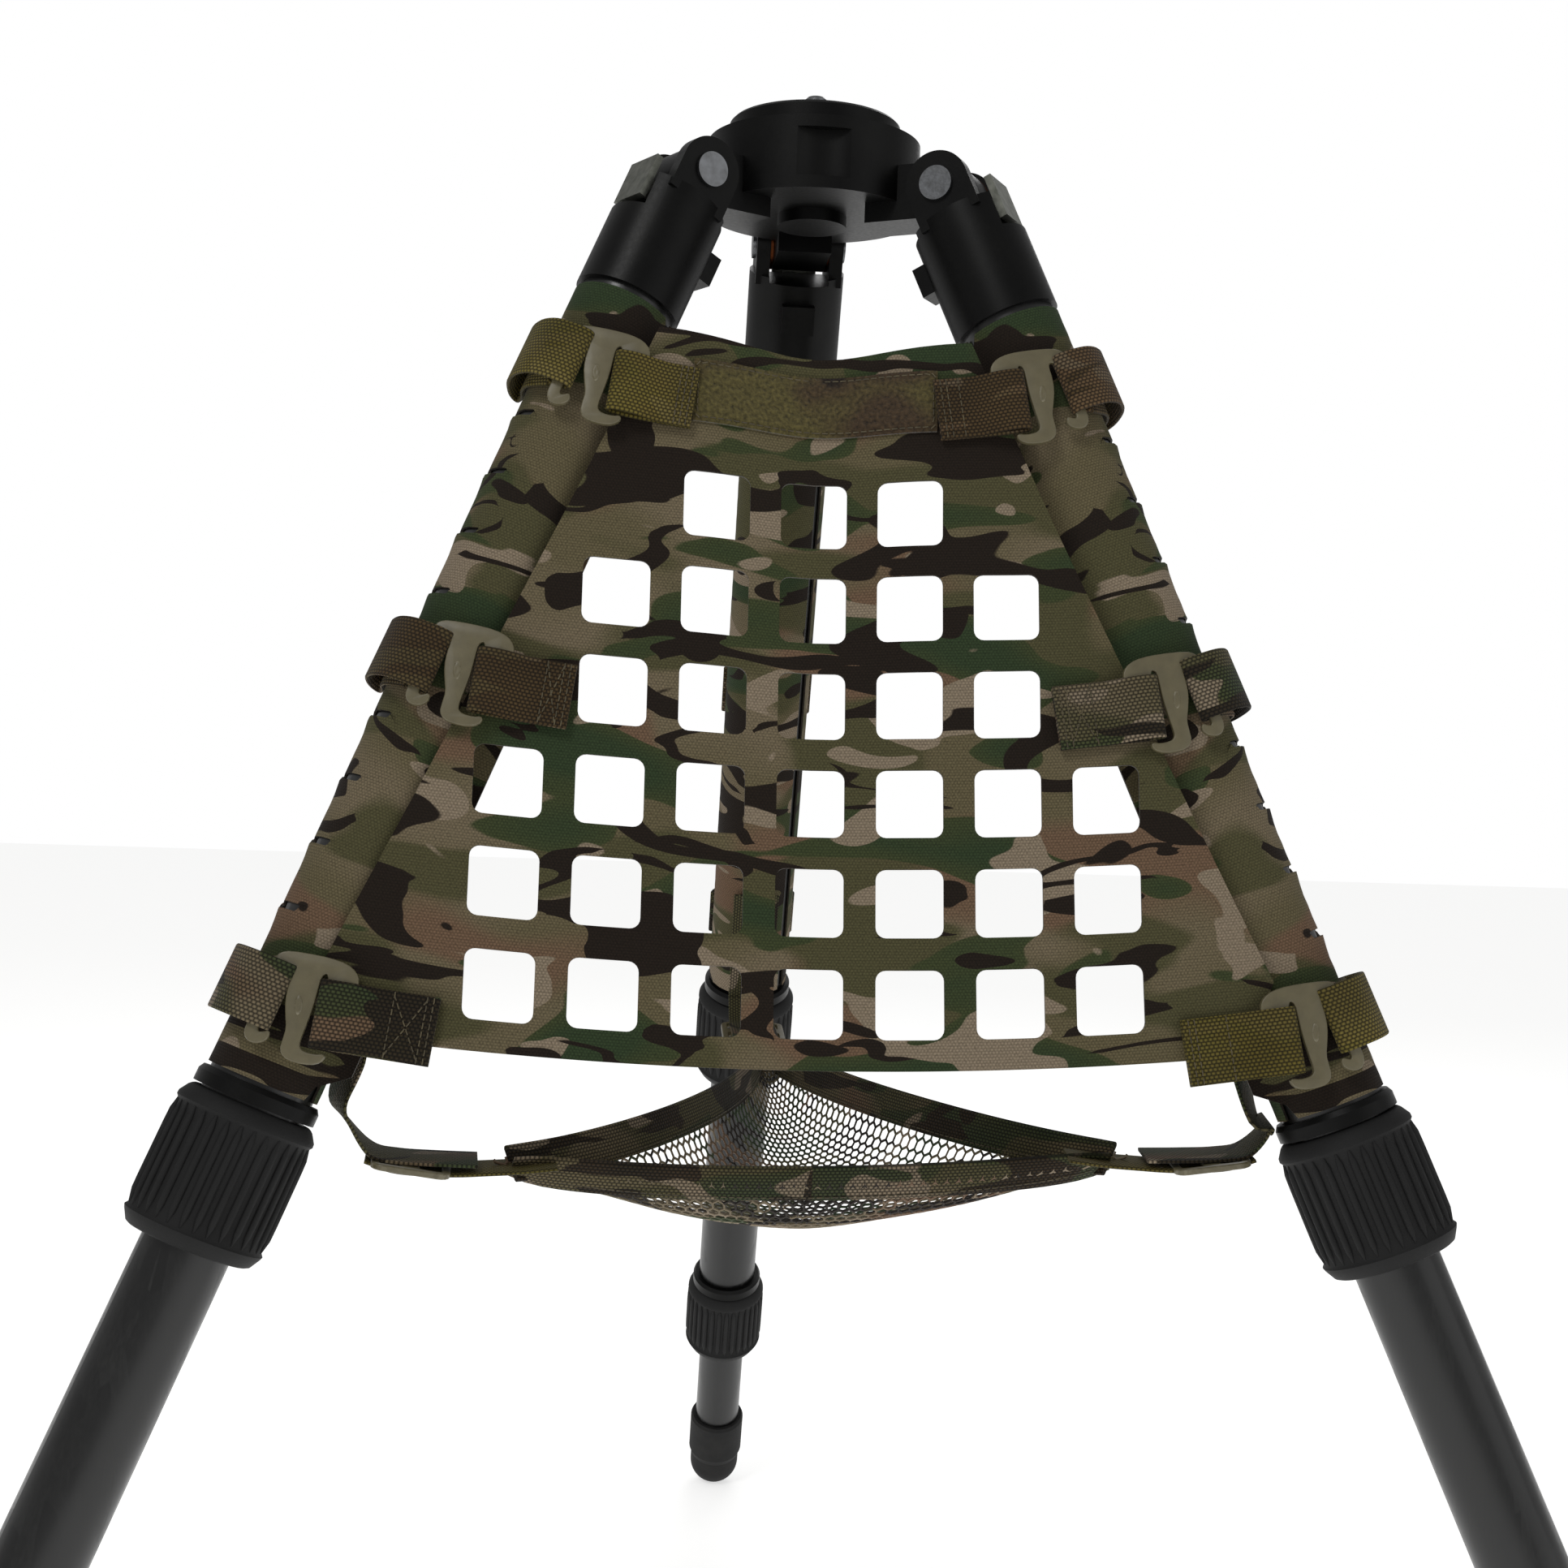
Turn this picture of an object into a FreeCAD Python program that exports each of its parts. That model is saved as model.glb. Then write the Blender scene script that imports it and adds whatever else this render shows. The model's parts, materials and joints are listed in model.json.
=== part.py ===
"""Field tripod dressed in a fabric load panel, leg wraps and a mesh tray.

Every size is a named cell of the sheet "sizes", in millimetres or degrees.
Leg pieces are drawn in the leg's own frame: its hinge pin is the origin, Z runs
up the leg, X points outwards and Y runs along the pin.  Panel pieces are drawn
in the panel's frame: X to the right, Y up the slope, Z out of its front face.
"""

import FreeCAD
import Part
import Sketcher
import math
import os

os.makedirs("parts", exist_ok=True)

SIZES = [
    # stance
    ("splay_deg", 25.0, "leg angle from vertical"),
    ("pin_radius", 65.0, "hinge pin to tripod axis"),
    ("running_gap", 0.06, "radial clearance of a turning fit"),
    ("part_gap", 0.35, "clearance between pieces that move past each other"),
    # hub
    ("hub_r", 46.0, "hub disc radius"),
    ("hub_h", 30.0, "hub disc height"),
    ("hub_drop", 3.4, "pin axis below the disc's underside, negative is above"),
    ("tongue_w", 24.0, "hub tongue width"),
    ("tongue_r", 11.5, "tongue nose radius"),
    ("boss_r", 15.0, "underside boss radius"),
    ("boss_h", 5.0, "underside boss height"),
    ("plate_r", 37.0, "top plate radius"),
    ("plate_h", 9.0, "top plate height"),
    ("stud_r", 4.76, "three-eighths stud radius"),
    ("shank_r", 4.2, "radius of the stud's shank in the plate"),
    ("stud_h", 12.0, "stud height above the plate"),
    # hinge
    ("pin_r", 4.0, "hinge pin radius"),
    ("pin_head_r", 7.0, "hinge pin head radius"),
    ("pin_head_h", 1.6, "hinge pin head height"),
    ("washer_r", 11.5, "washer radius"),
    ("washer_h", 1.3, "washer thickness"),
    ("fork_gap", 27.6, "gap between the cheeks"),
    ("fork_w", 40.0, "width over the cheeks"),
    ("cheek_r", 13.5, "cheek nose radius"),
    ("collar_r", "=upper_r + 2.2", "collar radius"),
    ("collar_top", 12.0, "pin to the round part of the yoke"),
    ("slot_floor", "=tongue_r + 3", "pin to the slot's floor below the tongue"),
    ("fork_floor", 27.0, "pin to the latch pocket's floor"),
    ("socket_top", 32.0, "pin to the tube socket's end"),
    ("collar_end", 62.0, "pin to the collar's lower rim"),
    # latch
    ("latch_w", 21.0, "latch plate width"),
    ("latch_h", 19.0, "latch plate height"),
    ("latch_t", 3.0, "latch plate thickness"),
    ("latch_x", 17.0, "axis to the latch plate"),
    ("latch_stem", 3.6, "latch stem length"),
    ("latch_low", 23.0, "pin to the latch plate's lower edge"),
    # tubes
    ("upper_r", 20.0, "upper tube radius"),
    ("upper_end", 455.0, "pin to the upper tube's end"),
    ("mid_r", "=upper_r - 3.3", "middle tube radius"),
    ("mid_top", 265.0, "pin to the middle tube's upper end"),
    ("mid_end", 660.0, "pin to the middle tube's lower end"),
    ("low_r", "=mid_r - 3.3", "lower tube radius"),
    ("low_top", 440.0, "pin to the lower tube's upper end"),
    ("low_end", 738.0, "pin to the lower tube's lower end"),
    ("wall", 1.5, "tube wall"),
    # twist locks
    ("ring_r", "=upper_r + 3.6", "collar ring radius of the upper lock"),
    ("ring_top", "=upper_end - 51.5", "pin to the ring of the upper lock"),
    ("ring_h", 6.6, "ring height"),
    ("grip_r", "=upper_r + 7", "upper grip radius"),
    ("grip_top", "=upper_end - 44", "pin to the upper grip"),
    ("grip_h", 54.0, "upper grip height"),
    ("ring2_r", "=mid_r + 3.5", "ring radius of the lower lock"),
    ("ring2_top", "=mid_end - 46", "pin to the ring of the lower lock"),
    ("grip2_r", "=mid_r + 6.5", "lower grip radius"),
    ("grip2_top", "=mid_end - 39", "pin to the lower grip"),
    ("grip2_h", 48.0, "lower grip height"),
    ("flutes", 32.0, "flutes round a grip"),
    ("flute_r", 1.7, "flute radius"),
    ("grip_chamfer", 3.0, "chamfer at a grip's ends"),
    # foot
    ("foot_top", "=low_end - 9", "pin to the foot's rim"),
    ("foot_r", "=low_r + 3", "foot sleeve radius"),
    ("ball_r", "=foot_r - 1.4", "foot ball radius"),
    ("ball_at", "=low_end + 30", "pin to the foot ball's centre"),
    # leg wrap
    ("wrap_r", "=upper_r + 1.6", "wrap outside radius"),
    ("wrap_t", 1.3, "wrap thickness"),
    ("wrap_top", 65.0, "pin to the wrap's upper edge"),
    ("wrap_end", "=ring_top - 1.5", "pin to the wrap's lower edge"),
    ("slot_pitch", 26.65, "pitch of the wrap's slots"),
    ("slot_first", 99.5, "pin to the first slot position"),
    ("slot_w", 20.0, "slot width round the leg"),
    ("slot_h", 3.0, "slot height"),
    ("flap_reach", "=wrap_r + 10.4", "leg axis to the flap's free edge"),
    ("flap_t", 2.0, "flap thickness"),
    ("flap_off", 6.5, "leg axis plane to the flap"),
    # panel
    ("panel_off", "=wrap_r + 0.4", "leg plane to the panel's back face"),
    ("panel_t", 1.2, "panel thickness"),
    ("panel_x", -3.0, "panel's shift to the side"),
    ("row_drop", 194.4, "hinge level to the first row, down the slope"),
    ("panel_top_w", 125.0, "panel width at its top edge"),
    ("panel_top_y", 68.5, "first row to the top corners"),
    ("panel_dip", 6.0, "dip of the top edge"),
    ("panel_low_w", 355.0, "panel width at the lower corners"),
    ("panel_low_y", 188.0, "first row to the lower corners"),
    ("panel_end_w", 328.0, "width of the lower edge"),
    ("panel_end_y", 215.0, "first row to the lower edge"),
    ("hole", 26.0, "hole width"),
    ("hole_r", 4.0, "hole corner radius"),
    ("hole_pitch", 38.1, "hole pitch"),
    ("patch_w", 92.0, "loop patch width"),
    ("patch_h", 24.5, "loop patch height"),
    ("patch_y", 44.5, "first row to the patch's middle"),
    ("patch_t", 1.6, "loop patch thickness"),
    # straps and hooks
    ("web_w", 25.0, "webbing width"),
    ("web_t", 1.4, "webbing thickness"),
    ("strap_clear", 9.5, "tray strap's top from the wrap"),
    ("hook_t", 2.4, "hook thickness"),
    ("hook_off", 4.8, "panel back face to the hook's back"),
    ("hook_tilt", 8.0, "hook tilt in the panel's plane"),
    ("hook1_x", 88.2, "axis to the top hooks"),
    ("hook1_y", 50.0, "first row up to the top hooks"),
    ("hook2_x", 136.8, "axis to the middle hooks"),
    ("hook2_y", -72.5, "first row to the middle hooks"),
    ("hook3_x", 186.9, "axis to the bottom hooks"),
    ("hook3_y", -199.0, "first row to the bottom hooks"),
    ("tab1_len", 37.0, "top tabs' length from the hook's middle"),
    ("tab2_len", 44.0, "middle tabs' length from the hook's middle"),
    ("tab3_len", 48.0, "bottom tabs' length from the hook's middle"),
    ("loop1_at", 106.3, "pin to the top loops"),
    ("loop2_at", 239.2, "pin to the middle loops"),
    ("loop3_at", 375.2, "pin to the bottom loops"),
    # tray
    ("tray_z", -436.0, "tray corners below hinge level"),
    ("tray_front", -110.0, "tray's front corners along Y"),
    ("tray_half", 135.0, "half distance between the front corners"),
    ("tray_rear", 178.0, "tray's rear corner along Y"),
    ("tray_bow", 30.0, "inward bow of the edges"),
    ("tray_sag", 40.0, "depth of the tray's belly"),
    ("tray_t", 1.2, "mesh thickness"),
    ("bind_w", 16.0, "binding width"),
    ("bind_t", 2.6, "binding thickness"),
]

ROWS = [3, 5, 5, 7, 7, 7]
LEGS = [("left", 210.0, 1.0), ("right", -30.0, -1.0), ("rear", 90.0, -1.0)]

doc = FreeCAD.newDocument("field_tripod")
sheet = doc.addObject("Spreadsheet::Sheet", "sizes")
nodes = []


class Size:
    """A number that remembers the expression it came from."""

    def __init__(self, text, value):
        self.text = text
        self.value = value

    def __add__(self, other):
        other = as_size(other)
        return Size("(%s + %s)" % (self.text, other.text), self.value + other.value)

    def __radd__(self, other):
        return as_size(other) + self

    def __sub__(self, other):
        other = as_size(other)
        return Size("(%s - %s)" % (self.text, other.text), self.value - other.value)

    def __rsub__(self, other):
        return as_size(other) - self

    def __mul__(self, other):
        other = as_size(other)
        return Size("(%s * %s)" % (self.text, other.text), self.value * other.value)

    def __rmul__(self, other):
        return as_size(other) * self

    def __truediv__(self, other):
        other = as_size(other)
        return Size("(%s / %s)" % (self.text, other.text), self.value / other.value)

    def __neg__(self):
        return Size("(0 - %s)" % self.text, -self.value)


def as_size(value):
    if isinstance(value, Size):
        return value
    return Size("%.4f" % value, float(value))


def fill_sheet():
    for row, (alias, value, note) in enumerate(SIZES, 1):
        sheet.setAlias("A%d" % row, alias)
        sheet.set("B%d" % row, note)
    for row, (alias, value, note) in enumerate(SIZES, 1):
        sheet.set("A%d" % row, str(value))
    doc.recompute()


def size(alias):
    return Size("sizes." + alias, float(sheet.get(alias)))


def bind(obj, prop, value):
    value = as_size(value)
    obj.setExpression(prop, value.text)


def place(obj, x, y, z, axis=None, angle=0.0):
    """Place a primitive inside its node, each coordinate bound to the sheet."""
    spot = [as_size(x), as_size(y), as_size(z)]
    where = FreeCAD.Vector(spot[0].value, spot[1].value, spot[2].value)
    turn = FreeCAD.Rotation()
    if axis is not None:
        turn = FreeCAD.Rotation(FreeCAD.Vector(*axis), angle)
    obj.Placement = FreeCAD.Placement(where, turn)
    for letter, value in zip("xyz", spot):
        obj.setExpression("Placement.Base." + letter, value.text)


def cylinder(name, radius, height, x=0, y=0, z=0, axis=None, angle=0.0):
    obj = doc.addObject("Part::Cylinder", name)
    bind(obj, "Radius", radius)
    bind(obj, "Height", height)
    place(obj, x, y, z, axis, angle)
    return obj


def box(name, length, width, height, x, y, z):
    obj = doc.addObject("Part::Box", name)
    bind(obj, "Length", length)
    bind(obj, "Width", width)
    bind(obj, "Height", height)
    place(obj, x, y, z)
    return obj


def cut(name, base, tool):
    obj = doc.addObject("Part::Cut", name)
    obj.Base = base
    obj.Tool = tool
    return obj


def fuse(name, shapes):
    obj = doc.addObject("Part::MultiFuse", name)
    obj.Shapes = shapes
    return obj


def group(name, shapes):
    obj = doc.addObject("Part::Compound", name)
    obj.Links = shapes
    return obj


def node(obj, name, placement):
    obj.Label = name
    obj.Placement = placement
    nodes.append(obj)
    return obj


def new_body(name):
    return doc.addObject("PartDesign::Body", name)


def own_plane(body, role):
    for feature in body.Origin.OriginFeatures:
        if feature.Role == role:
            return feature
    raise RuntimeError("no origin plane " + role)


def sketch_on(body, role, name):
    sketch = body.newObject("Sketcher::SketchObject", name)
    sketch.AttachmentSupport = (own_plane(body, role), [""])
    sketch.MapMode = "FlatFace"
    return sketch


def pin_point(sketch, index, end, x, y):
    """Fix one sketch point by two dimensions bound to the sheet."""
    for kind, value, own_axis in (("DistanceX", x, -2), ("DistanceY", y, -1)):
        value = as_size(value)
        if abs(value.value) < 1e-9:
            sketch.addConstraint(
                Sketcher.Constraint("PointOnObject", index, end, own_axis)
            )
            continue
        made = sketch.addConstraint(
            Sketcher.Constraint(kind, -1, 1, index, end, value.value)
        )
        sketch.setExpression("Constraints[%d]" % made, value.text)


def polygon(sketch, points):
    first = sketch.GeometryCount
    count = len(points)
    spots = []
    for x, y in points:
        spots.append(FreeCAD.Vector(as_size(x).value, as_size(y).value, 0))
    for i in range(count):
        line = Part.LineSegment(spots[i], spots[(i + 1) % count])
        sketch.addGeometry(line, False)
    for i in range(count):
        follow = first + (i + 1) % count
        sketch.addConstraint(
            Sketcher.Constraint("Coincident", first + i, 2, follow, 1)
        )
    for i, (x, y) in enumerate(points):
        pin_point(sketch, first + i, 1, x, y)


def rounded_square(sketch, x, y, side, radius):
    """Four lines and four corner arcs round (x, y)."""
    x = as_size(x)
    y = as_size(y)
    side = as_size(side)
    radius = as_size(radius)
    first = sketch.GeometryCount
    half = side / 2
    flat = half - radius
    up = FreeCAD.Vector(0, 0, 1)
    middles = []
    for i in range(4):
        a = math.radians(90.0 * i)
        ca = round(math.cos(a))
        sa = round(math.sin(a))
        start = FreeCAD.Vector(
            x.value + half.value * ca + flat.value * sa,
            y.value + half.value * sa - flat.value * ca,
            0,
        )
        end = FreeCAD.Vector(
            x.value + half.value * ca - flat.value * sa,
            y.value + half.value * sa + flat.value * ca,
            0,
        )
        sketch.addGeometry(Part.LineSegment(start, end), False)
        centre = FreeCAD.Vector(
            x.value + flat.value * (ca - sa), y.value + flat.value * (sa + ca), 0
        )
        middles.append((ca - sa, sa + ca))
        circle = Part.Circle(centre, up, radius.value)
        sketch.addGeometry(Part.ArcOfCircle(circle, a, a + math.pi / 2), False)
    for i in range(4):
        line = first + 2 * i
        arc = line + 1
        follow = first + (2 * i + 2) % 8
        sketch.addConstraint(Sketcher.Constraint("Tangent", line, 2, arc, 1))
        sketch.addConstraint(Sketcher.Constraint("Tangent", arc, 2, follow, 1))
        mx, my = middles[i]
        pin_point(sketch, arc, 3, x + flat * mx, y + flat * my)
    made = sketch.addConstraint(
        Sketcher.Constraint("Radius", first + 1, radius.value)
    )
    sketch.setExpression("Constraints[%d]" % made, radius.text)


def revolved(name, points):
    """A body turned round its Z axis from a profile of (radius, height)."""
    body = new_body(name)
    sketch = sketch_on(body, "XZ_Plane", name + "_profile")
    polygon(sketch, points)
    turned = body.newObject("PartDesign::Revolution", name + "_turned")
    turned.Profile = sketch
    turned.ReferenceAxis = (sketch, ["V_Axis"])
    turned.Angle = 360
    return body


def padded(name, role, height, draw):
    body = new_body(name)
    sketch = sketch_on(body, role, name + "_outline")
    draw(sketch)
    pad = body.newObject("PartDesign::Pad", name + "_pad")
    pad.Profile = sketch
    bind(pad, "Length", height)
    return body


def leg_place(azimuth):
    """Where a leg's own frame sits at rest."""
    splay = size("splay_deg").value
    turn = FreeCAD.Rotation(FreeCAD.Vector(0, 0, 1), azimuth)
    lean = FreeCAD.Rotation(FreeCAD.Vector(0, 1, 0), -splay)
    a = math.radians(azimuth)
    r = size("pin_radius").value
    spot = FreeCAD.Vector(r * math.cos(a), r * math.sin(a), 0)
    return FreeCAD.Placement(spot, turn.multiply(lean))


def panel_axes():
    """The panel's right, up-slope and outward directions."""
    splay = math.radians(size("splay_deg").value)
    lean = math.atan(0.5 * math.tan(splay))
    right = FreeCAD.Vector(1, 0, 0)
    up = FreeCAD.Vector(0, math.sin(lean), math.cos(lean))
    out = FreeCAD.Vector(0, -math.cos(lean), math.sin(lean))
    return right, up, out


def panel_place(off=0.0, x=0.0, y=0.0, tilt=0.0):
    """A frame on the panel: off is outwards from the plane of the two legs."""
    right, up, out = panel_axes()
    virtual = size("pin_radius").value - 47.3 * math.sin(
        math.radians(size("splay_deg").value)
    )
    level = 42.87
    spot = FreeCAD.Vector(0, -0.5 * virtual, level)
    spot = spot - up * size("row_drop").value
    spot = spot + right * x + up * y + out * off
    turn = FreeCAD.Rotation(right, up, out, "ZXY")
    spin = FreeCAD.Rotation(FreeCAD.Vector(0, 0, 1), tilt)
    return FreeCAD.Placement(spot, turn.multiply(spin))


# ---------------------------------------------------------------- the hub


def hub_casting():
    drop = size("hub_drop")
    disc_z = -drop
    disc = cylinder("hub_disc", size("hub_r"), size("hub_h"), z=disc_z)
    boss_z = disc_z - size("boss_h")
    boss = cylinder("hub_boss", size("boss_r"), size("boss_h") + 2, z=boss_z)
    solids = [disc, boss]
    holes = []
    for leg, azimuth, _ in LEGS:
        half = size("tongue_w") / 2
        nose = size("tongue_r")
        reach = size("pin_radius") - 30
        root = box(
            "tongue_" + leg, reach, size("tongue_w"), nose * 2, 30, -half, -nose
        )
        tip = cylinder(
            "tongue_nose_" + leg,
            nose,
            size("tongue_w"),
            x=size("pin_radius"),
            y=half,
            axis=(1, 0, 0),
            angle=90,
        )
        arm = fuse("tongue_pair_" + leg, [root, tip])
        spin = FreeCAD.Rotation(FreeCAD.Vector(0, 0, 1), azimuth)
        arm.Placement = FreeCAD.Placement(FreeCAD.Vector(0, 0, 0), spin)
        solids.append(arm)
        bore = cylinder(
            "tongue_bore_in_" + leg,
            size("pin_r") + size("running_gap"),
            size("tongue_w") + 4,
            x=size("pin_radius"),
            y=half + 2,
            axis=(1, 0, 0),
            angle=90,
        )
        turned = fuse("tongue_bore_" + leg, [bore, hub_lightening(leg)])
        turned.Placement = FreeCAD.Placement(FreeCAD.Vector(0, 0, 0), spin)
        holes.append(turned)
    whole = fuse("hub_whole", solids)
    bores = fuse("hub_bores", holes)
    made = cut("hub_casting", whole, bores)
    node(made, "hub_casting", FreeCAD.Placement())


def hub_lightening(leg):
    """A shallow pocket in the disc's rim between two tongues."""
    depth = 5.0
    pocket = cylinder(
        "rim_pocket_" + leg,
        size("hub_r") * 0.42,
        size("hub_h") - 10,
        x=-(size("hub_r") * 1.42 - depth),
        z=-size("hub_drop") + 5,
    )
    return pocket


def top_plate():
    top = size("hub_h") - size("hub_drop")
    edge = 1.2
    r = size("plate_r")
    h = size("plate_h")
    bore = size("shank_r") + size("running_gap")
    relief = size("stud_r") + size("running_gap")
    points = [
        (bore, top),
        (r - 3, top),
        (r - 3, top + 1.5),
        (r, top + 2.5),
        (r, top + h - edge),
        (r - edge, top + h),
        (relief, top + h),
        (relief, top + h - 2),
        (bore, top + h - 2),
    ]
    node(revolved("top_plate", points), "top_plate", FreeCAD.Placement())


def top_stud():
    low = size("hub_h") - size("hub_drop")
    z = low + size("plate_h")
    r = size("stud_r")
    h = size("stud_h")
    shank = size("shank_r")
    points = [
        (0, low),
        (shank, low),
        (shank, z),
        (r, z),
        (r, z + h - 1),
        (r - 1, z + h),
        (0, z + h),
    ]
    node(revolved("top_stud", points), "top_stud", FreeCAD.Placement())


# ---------------------------------------------------------------- a leg


def yoke(leg, where):
    tag = "_" + leg
    collar_h = size("collar_end") - size("collar_top")
    collar = cylinder(
        "collar" + tag, size("collar_r"), collar_h, z=-size("collar_end")
    )
    nose = cylinder(
        "cheek_nose" + tag,
        size("cheek_r"),
        size("fork_w"),
        y=size("fork_w") / 2,
        axis=(1, 0, 0),
        angle=90,
    )
    neck_w = size("cheek_r") * 2
    neck = box(
        "cheek_neck" + tag,
        neck_w,
        size("fork_w"),
        size("collar_top") + 4,
        -size("cheek_r"),
        -size("fork_w") / 2,
        -size("collar_top") - 4,
    )
    lobe = box("inner_lobe" + tag, 6.0, 15.0, 13.0, -26.5, -7.5, -36.0)
    solid = fuse("yoke_solid" + tag, [collar, nose, neck, lobe])
    slot = box(
        "fork_slot" + tag,
        80,
        size("fork_gap"),
        size("slot_floor") + 30,
        -40,
        -size("fork_gap") / 2,
        -size("slot_floor"),
    )
    pocket = box(
        "latch_pocket" + tag,
        32,
        size("fork_gap"),
        size("fork_floor") + 30,
        8,
        -size("fork_gap") / 2,
        -size("fork_floor"),
    )
    socket_h = size("collar_end") - size("socket_top") + 1
    socket = cylinder(
        "socket" + tag, size("upper_r") + 0.05, socket_h, z=-size("collar_end") - 1
    )
    eye = cylinder(
        "cheek_eye" + tag,
        size("pin_r") + 0.02,
        size("fork_w") + 4,
        y=size("fork_w") / 2 + 2,
        axis=(1, 0, 0),
        angle=90,
    )
    cuts = fuse("yoke_cuts" + tag, [slot, pocket, socket, eye])
    node(cut("yoke" + tag, solid, cuts), leg + "_yoke", where)


def hinge_pin(leg, where):
    tag = "_" + leg
    half = size("fork_w") / 2
    long = half + size("pin_head_h")
    rod = cylinder(
        "pin_rod" + tag, size("pin_r"), long * 2, y=long, axis=(1, 0, 0), angle=90
    )
    heads = [rod]
    for side, y in (("a", long), ("b", -half - 0.02)):
        head = cylinder(
            "pin_head_" + side + tag,
            size("pin_head_r"),
            size("pin_head_h") - 0.02,
            y=y,
            axis=(1, 0, 0),
            angle=90,
        )
        heads.append(head)
    node(fuse("pin" + tag, heads), leg + "_pin", where)


def washers(leg, where):
    tag = "_" + leg
    rings = []
    middle = size("tongue_w") / 4 + size("fork_gap") / 4
    for side, y in (("a", middle + size("washer_h") / 2), ("b", -middle + size("washer_h") / 2)):
        disc = cylinder(
            "washer_disc_" + side + tag,
            size("washer_r"),
            size("washer_h"),
            y=y,
            axis=(1, 0, 0),
            angle=90,
        )
        eye = cylinder(
            "washer_eye_" + side + tag,
            size("pin_r") + 0.4,
            size("washer_h") + 2,
            y=y + 1,
            axis=(1, 0, 0),
            angle=90,
        )
        rings.append(cut("washer_" + side + tag, disc, eye))
    node(group("washers" + tag, rings), leg + "_washers", where)


def latch(leg, where):
    tag = "_" + leg
    half = size("latch_w") / 2
    plate = box(
        "latch_plate" + tag,
        size("latch_t"),
        size("latch_w"),
        size("latch_h"),
        size("latch_x"),
        -half,
        -size("latch_low"),
    )
    stem = box(
        "latch_stem_in" + tag,
        size("latch_stem") + 1,
        11,
        9,
        size("latch_x") - size("latch_stem"),
        -5.5,
        -size("latch_low") + 2,
    )
    node(fuse("latch" + tag, [plate, stem]), leg + "_latch", where)


def tube(name, label, where, radius, wall, top, end):
    outer = cylinder(name + "_out", radius, end - top, z=-end)
    inner = cylinder(name + "_in", radius - wall, end - top + 2, z=-end - 1)
    node(cut(name, outer, inner), label, where)


def ring(name, label, where, radius, bore, top):
    height = size("ring_h")
    low = -top - height
    points = [
        (bore, low),
        (radius, low),
        (radius, low + height - 2),
        (radius - 1.2, low + height),
        (bore, low + height),
    ]
    node(revolved(name, points), label, where)


def grip(name, label, where, radius, top, height, bore, tube_r):
    """A twist lock's grip: wide bore over the outer tube, then a lip."""
    chamfer = size("grip_chamfer")
    low = -top - height
    lip = low + 8
    points = [
        (tube_r, low),
        (radius - chamfer, low),
        (radius, low + chamfer),
        (radius, low + height - chamfer),
        (radius - chamfer * 0.8, low + height),
        (bore, low + height),
        (bore, lip),
        (tube_r, lip),
    ]
    body = revolved(name, points)
    sketch = sketch_on(body, "XY_Plane", name + "_flute")
    spot = radius + 0.5
    flute = size("flute_r")
    centre = FreeCAD.Vector(spot.value, 0, 0)
    made = Part.Circle(centre, FreeCAD.Vector(0, 0, 1), flute.value)
    sketch.addGeometry(made, False)
    pin_point(sketch, 0, 3, spot, 0)
    mark = sketch.addConstraint(Sketcher.Constraint("Radius", 0, flute.value))
    sketch.setExpression("Constraints[%d]" % mark, flute.text)
    pocket = body.newObject("PartDesign::Pocket", name + "_groove")
    pocket.Profile = sketch
    pocket.Type = "ThroughAll"
    pocket.Midplane = True
    pattern = body.newObject("PartDesign::PolarPattern", name + "_grooves")
    pattern.Originals = [pocket]
    pattern.Axis = (sketch, ["N_Axis"])
    pattern.Angle = 360
    bind(pattern, "Occurrences", size("flutes"))
    body.Tip = pattern
    node(body, label, where)


def foot(leg, where):
    rim = -size("foot_top")
    seat = -size("low_end") - 0.3
    ball = -size("ball_at")
    r = size("foot_r")
    bore = size("low_r") + 0.05
    body = new_body("foot_" + leg)
    sketch = sketch_on(body, "XZ_Plane", "foot_profile_" + leg)
    points = [
        (0, ball),
        (size("ball_r"), ball),
        (size("ball_r"), ball + 8),
        (r, ball + 12),
        (r, rim - 2),
        (r - 1, rim),
        (bore, rim),
        (bore, seat),
        (0, seat),
    ]
    polygon(sketch, points)
    turned = body.newObject("PartDesign::Revolution", "foot_turned_" + leg)
    turned.Profile = sketch
    turned.ReferenceAxis = (sketch, ["V_Axis"])
    turned.Angle = 360
    dome = doc.addObject("Part::Sphere", "foot_ball_" + leg)
    bind(dome, "Radius", size("ball_r"))
    place(dome, 0, 0, ball)
    node(fuse("foot_whole_" + leg, [body, dome]), leg + "_foot", where)


def panel_angle():
    """Angle, in a leg's own frame, from outwards to the panel's front side."""
    splay = math.radians(size("splay_deg").value)
    _, _, out = panel_axes()
    x = FreeCAD.Vector(
        -math.cos(math.radians(30)) * math.cos(splay),
        -0.5 * math.cos(splay),
        math.sin(splay),
    )
    y = FreeCAD.Vector(0.5, -math.cos(math.radians(30)), 0)
    return math.degrees(math.atan2(out.dot(y), out.dot(x)))


def to_leg(u, n, side):
    """A point of a leg's cross-section: u away from the middle, n to the front."""
    a = math.radians(panel_angle())
    x = n * math.cos(a) + u * math.sin(a)
    y = n * math.sin(a) - u * math.cos(a)
    return FreeCAD.Vector(x, side * y, 0)


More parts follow.
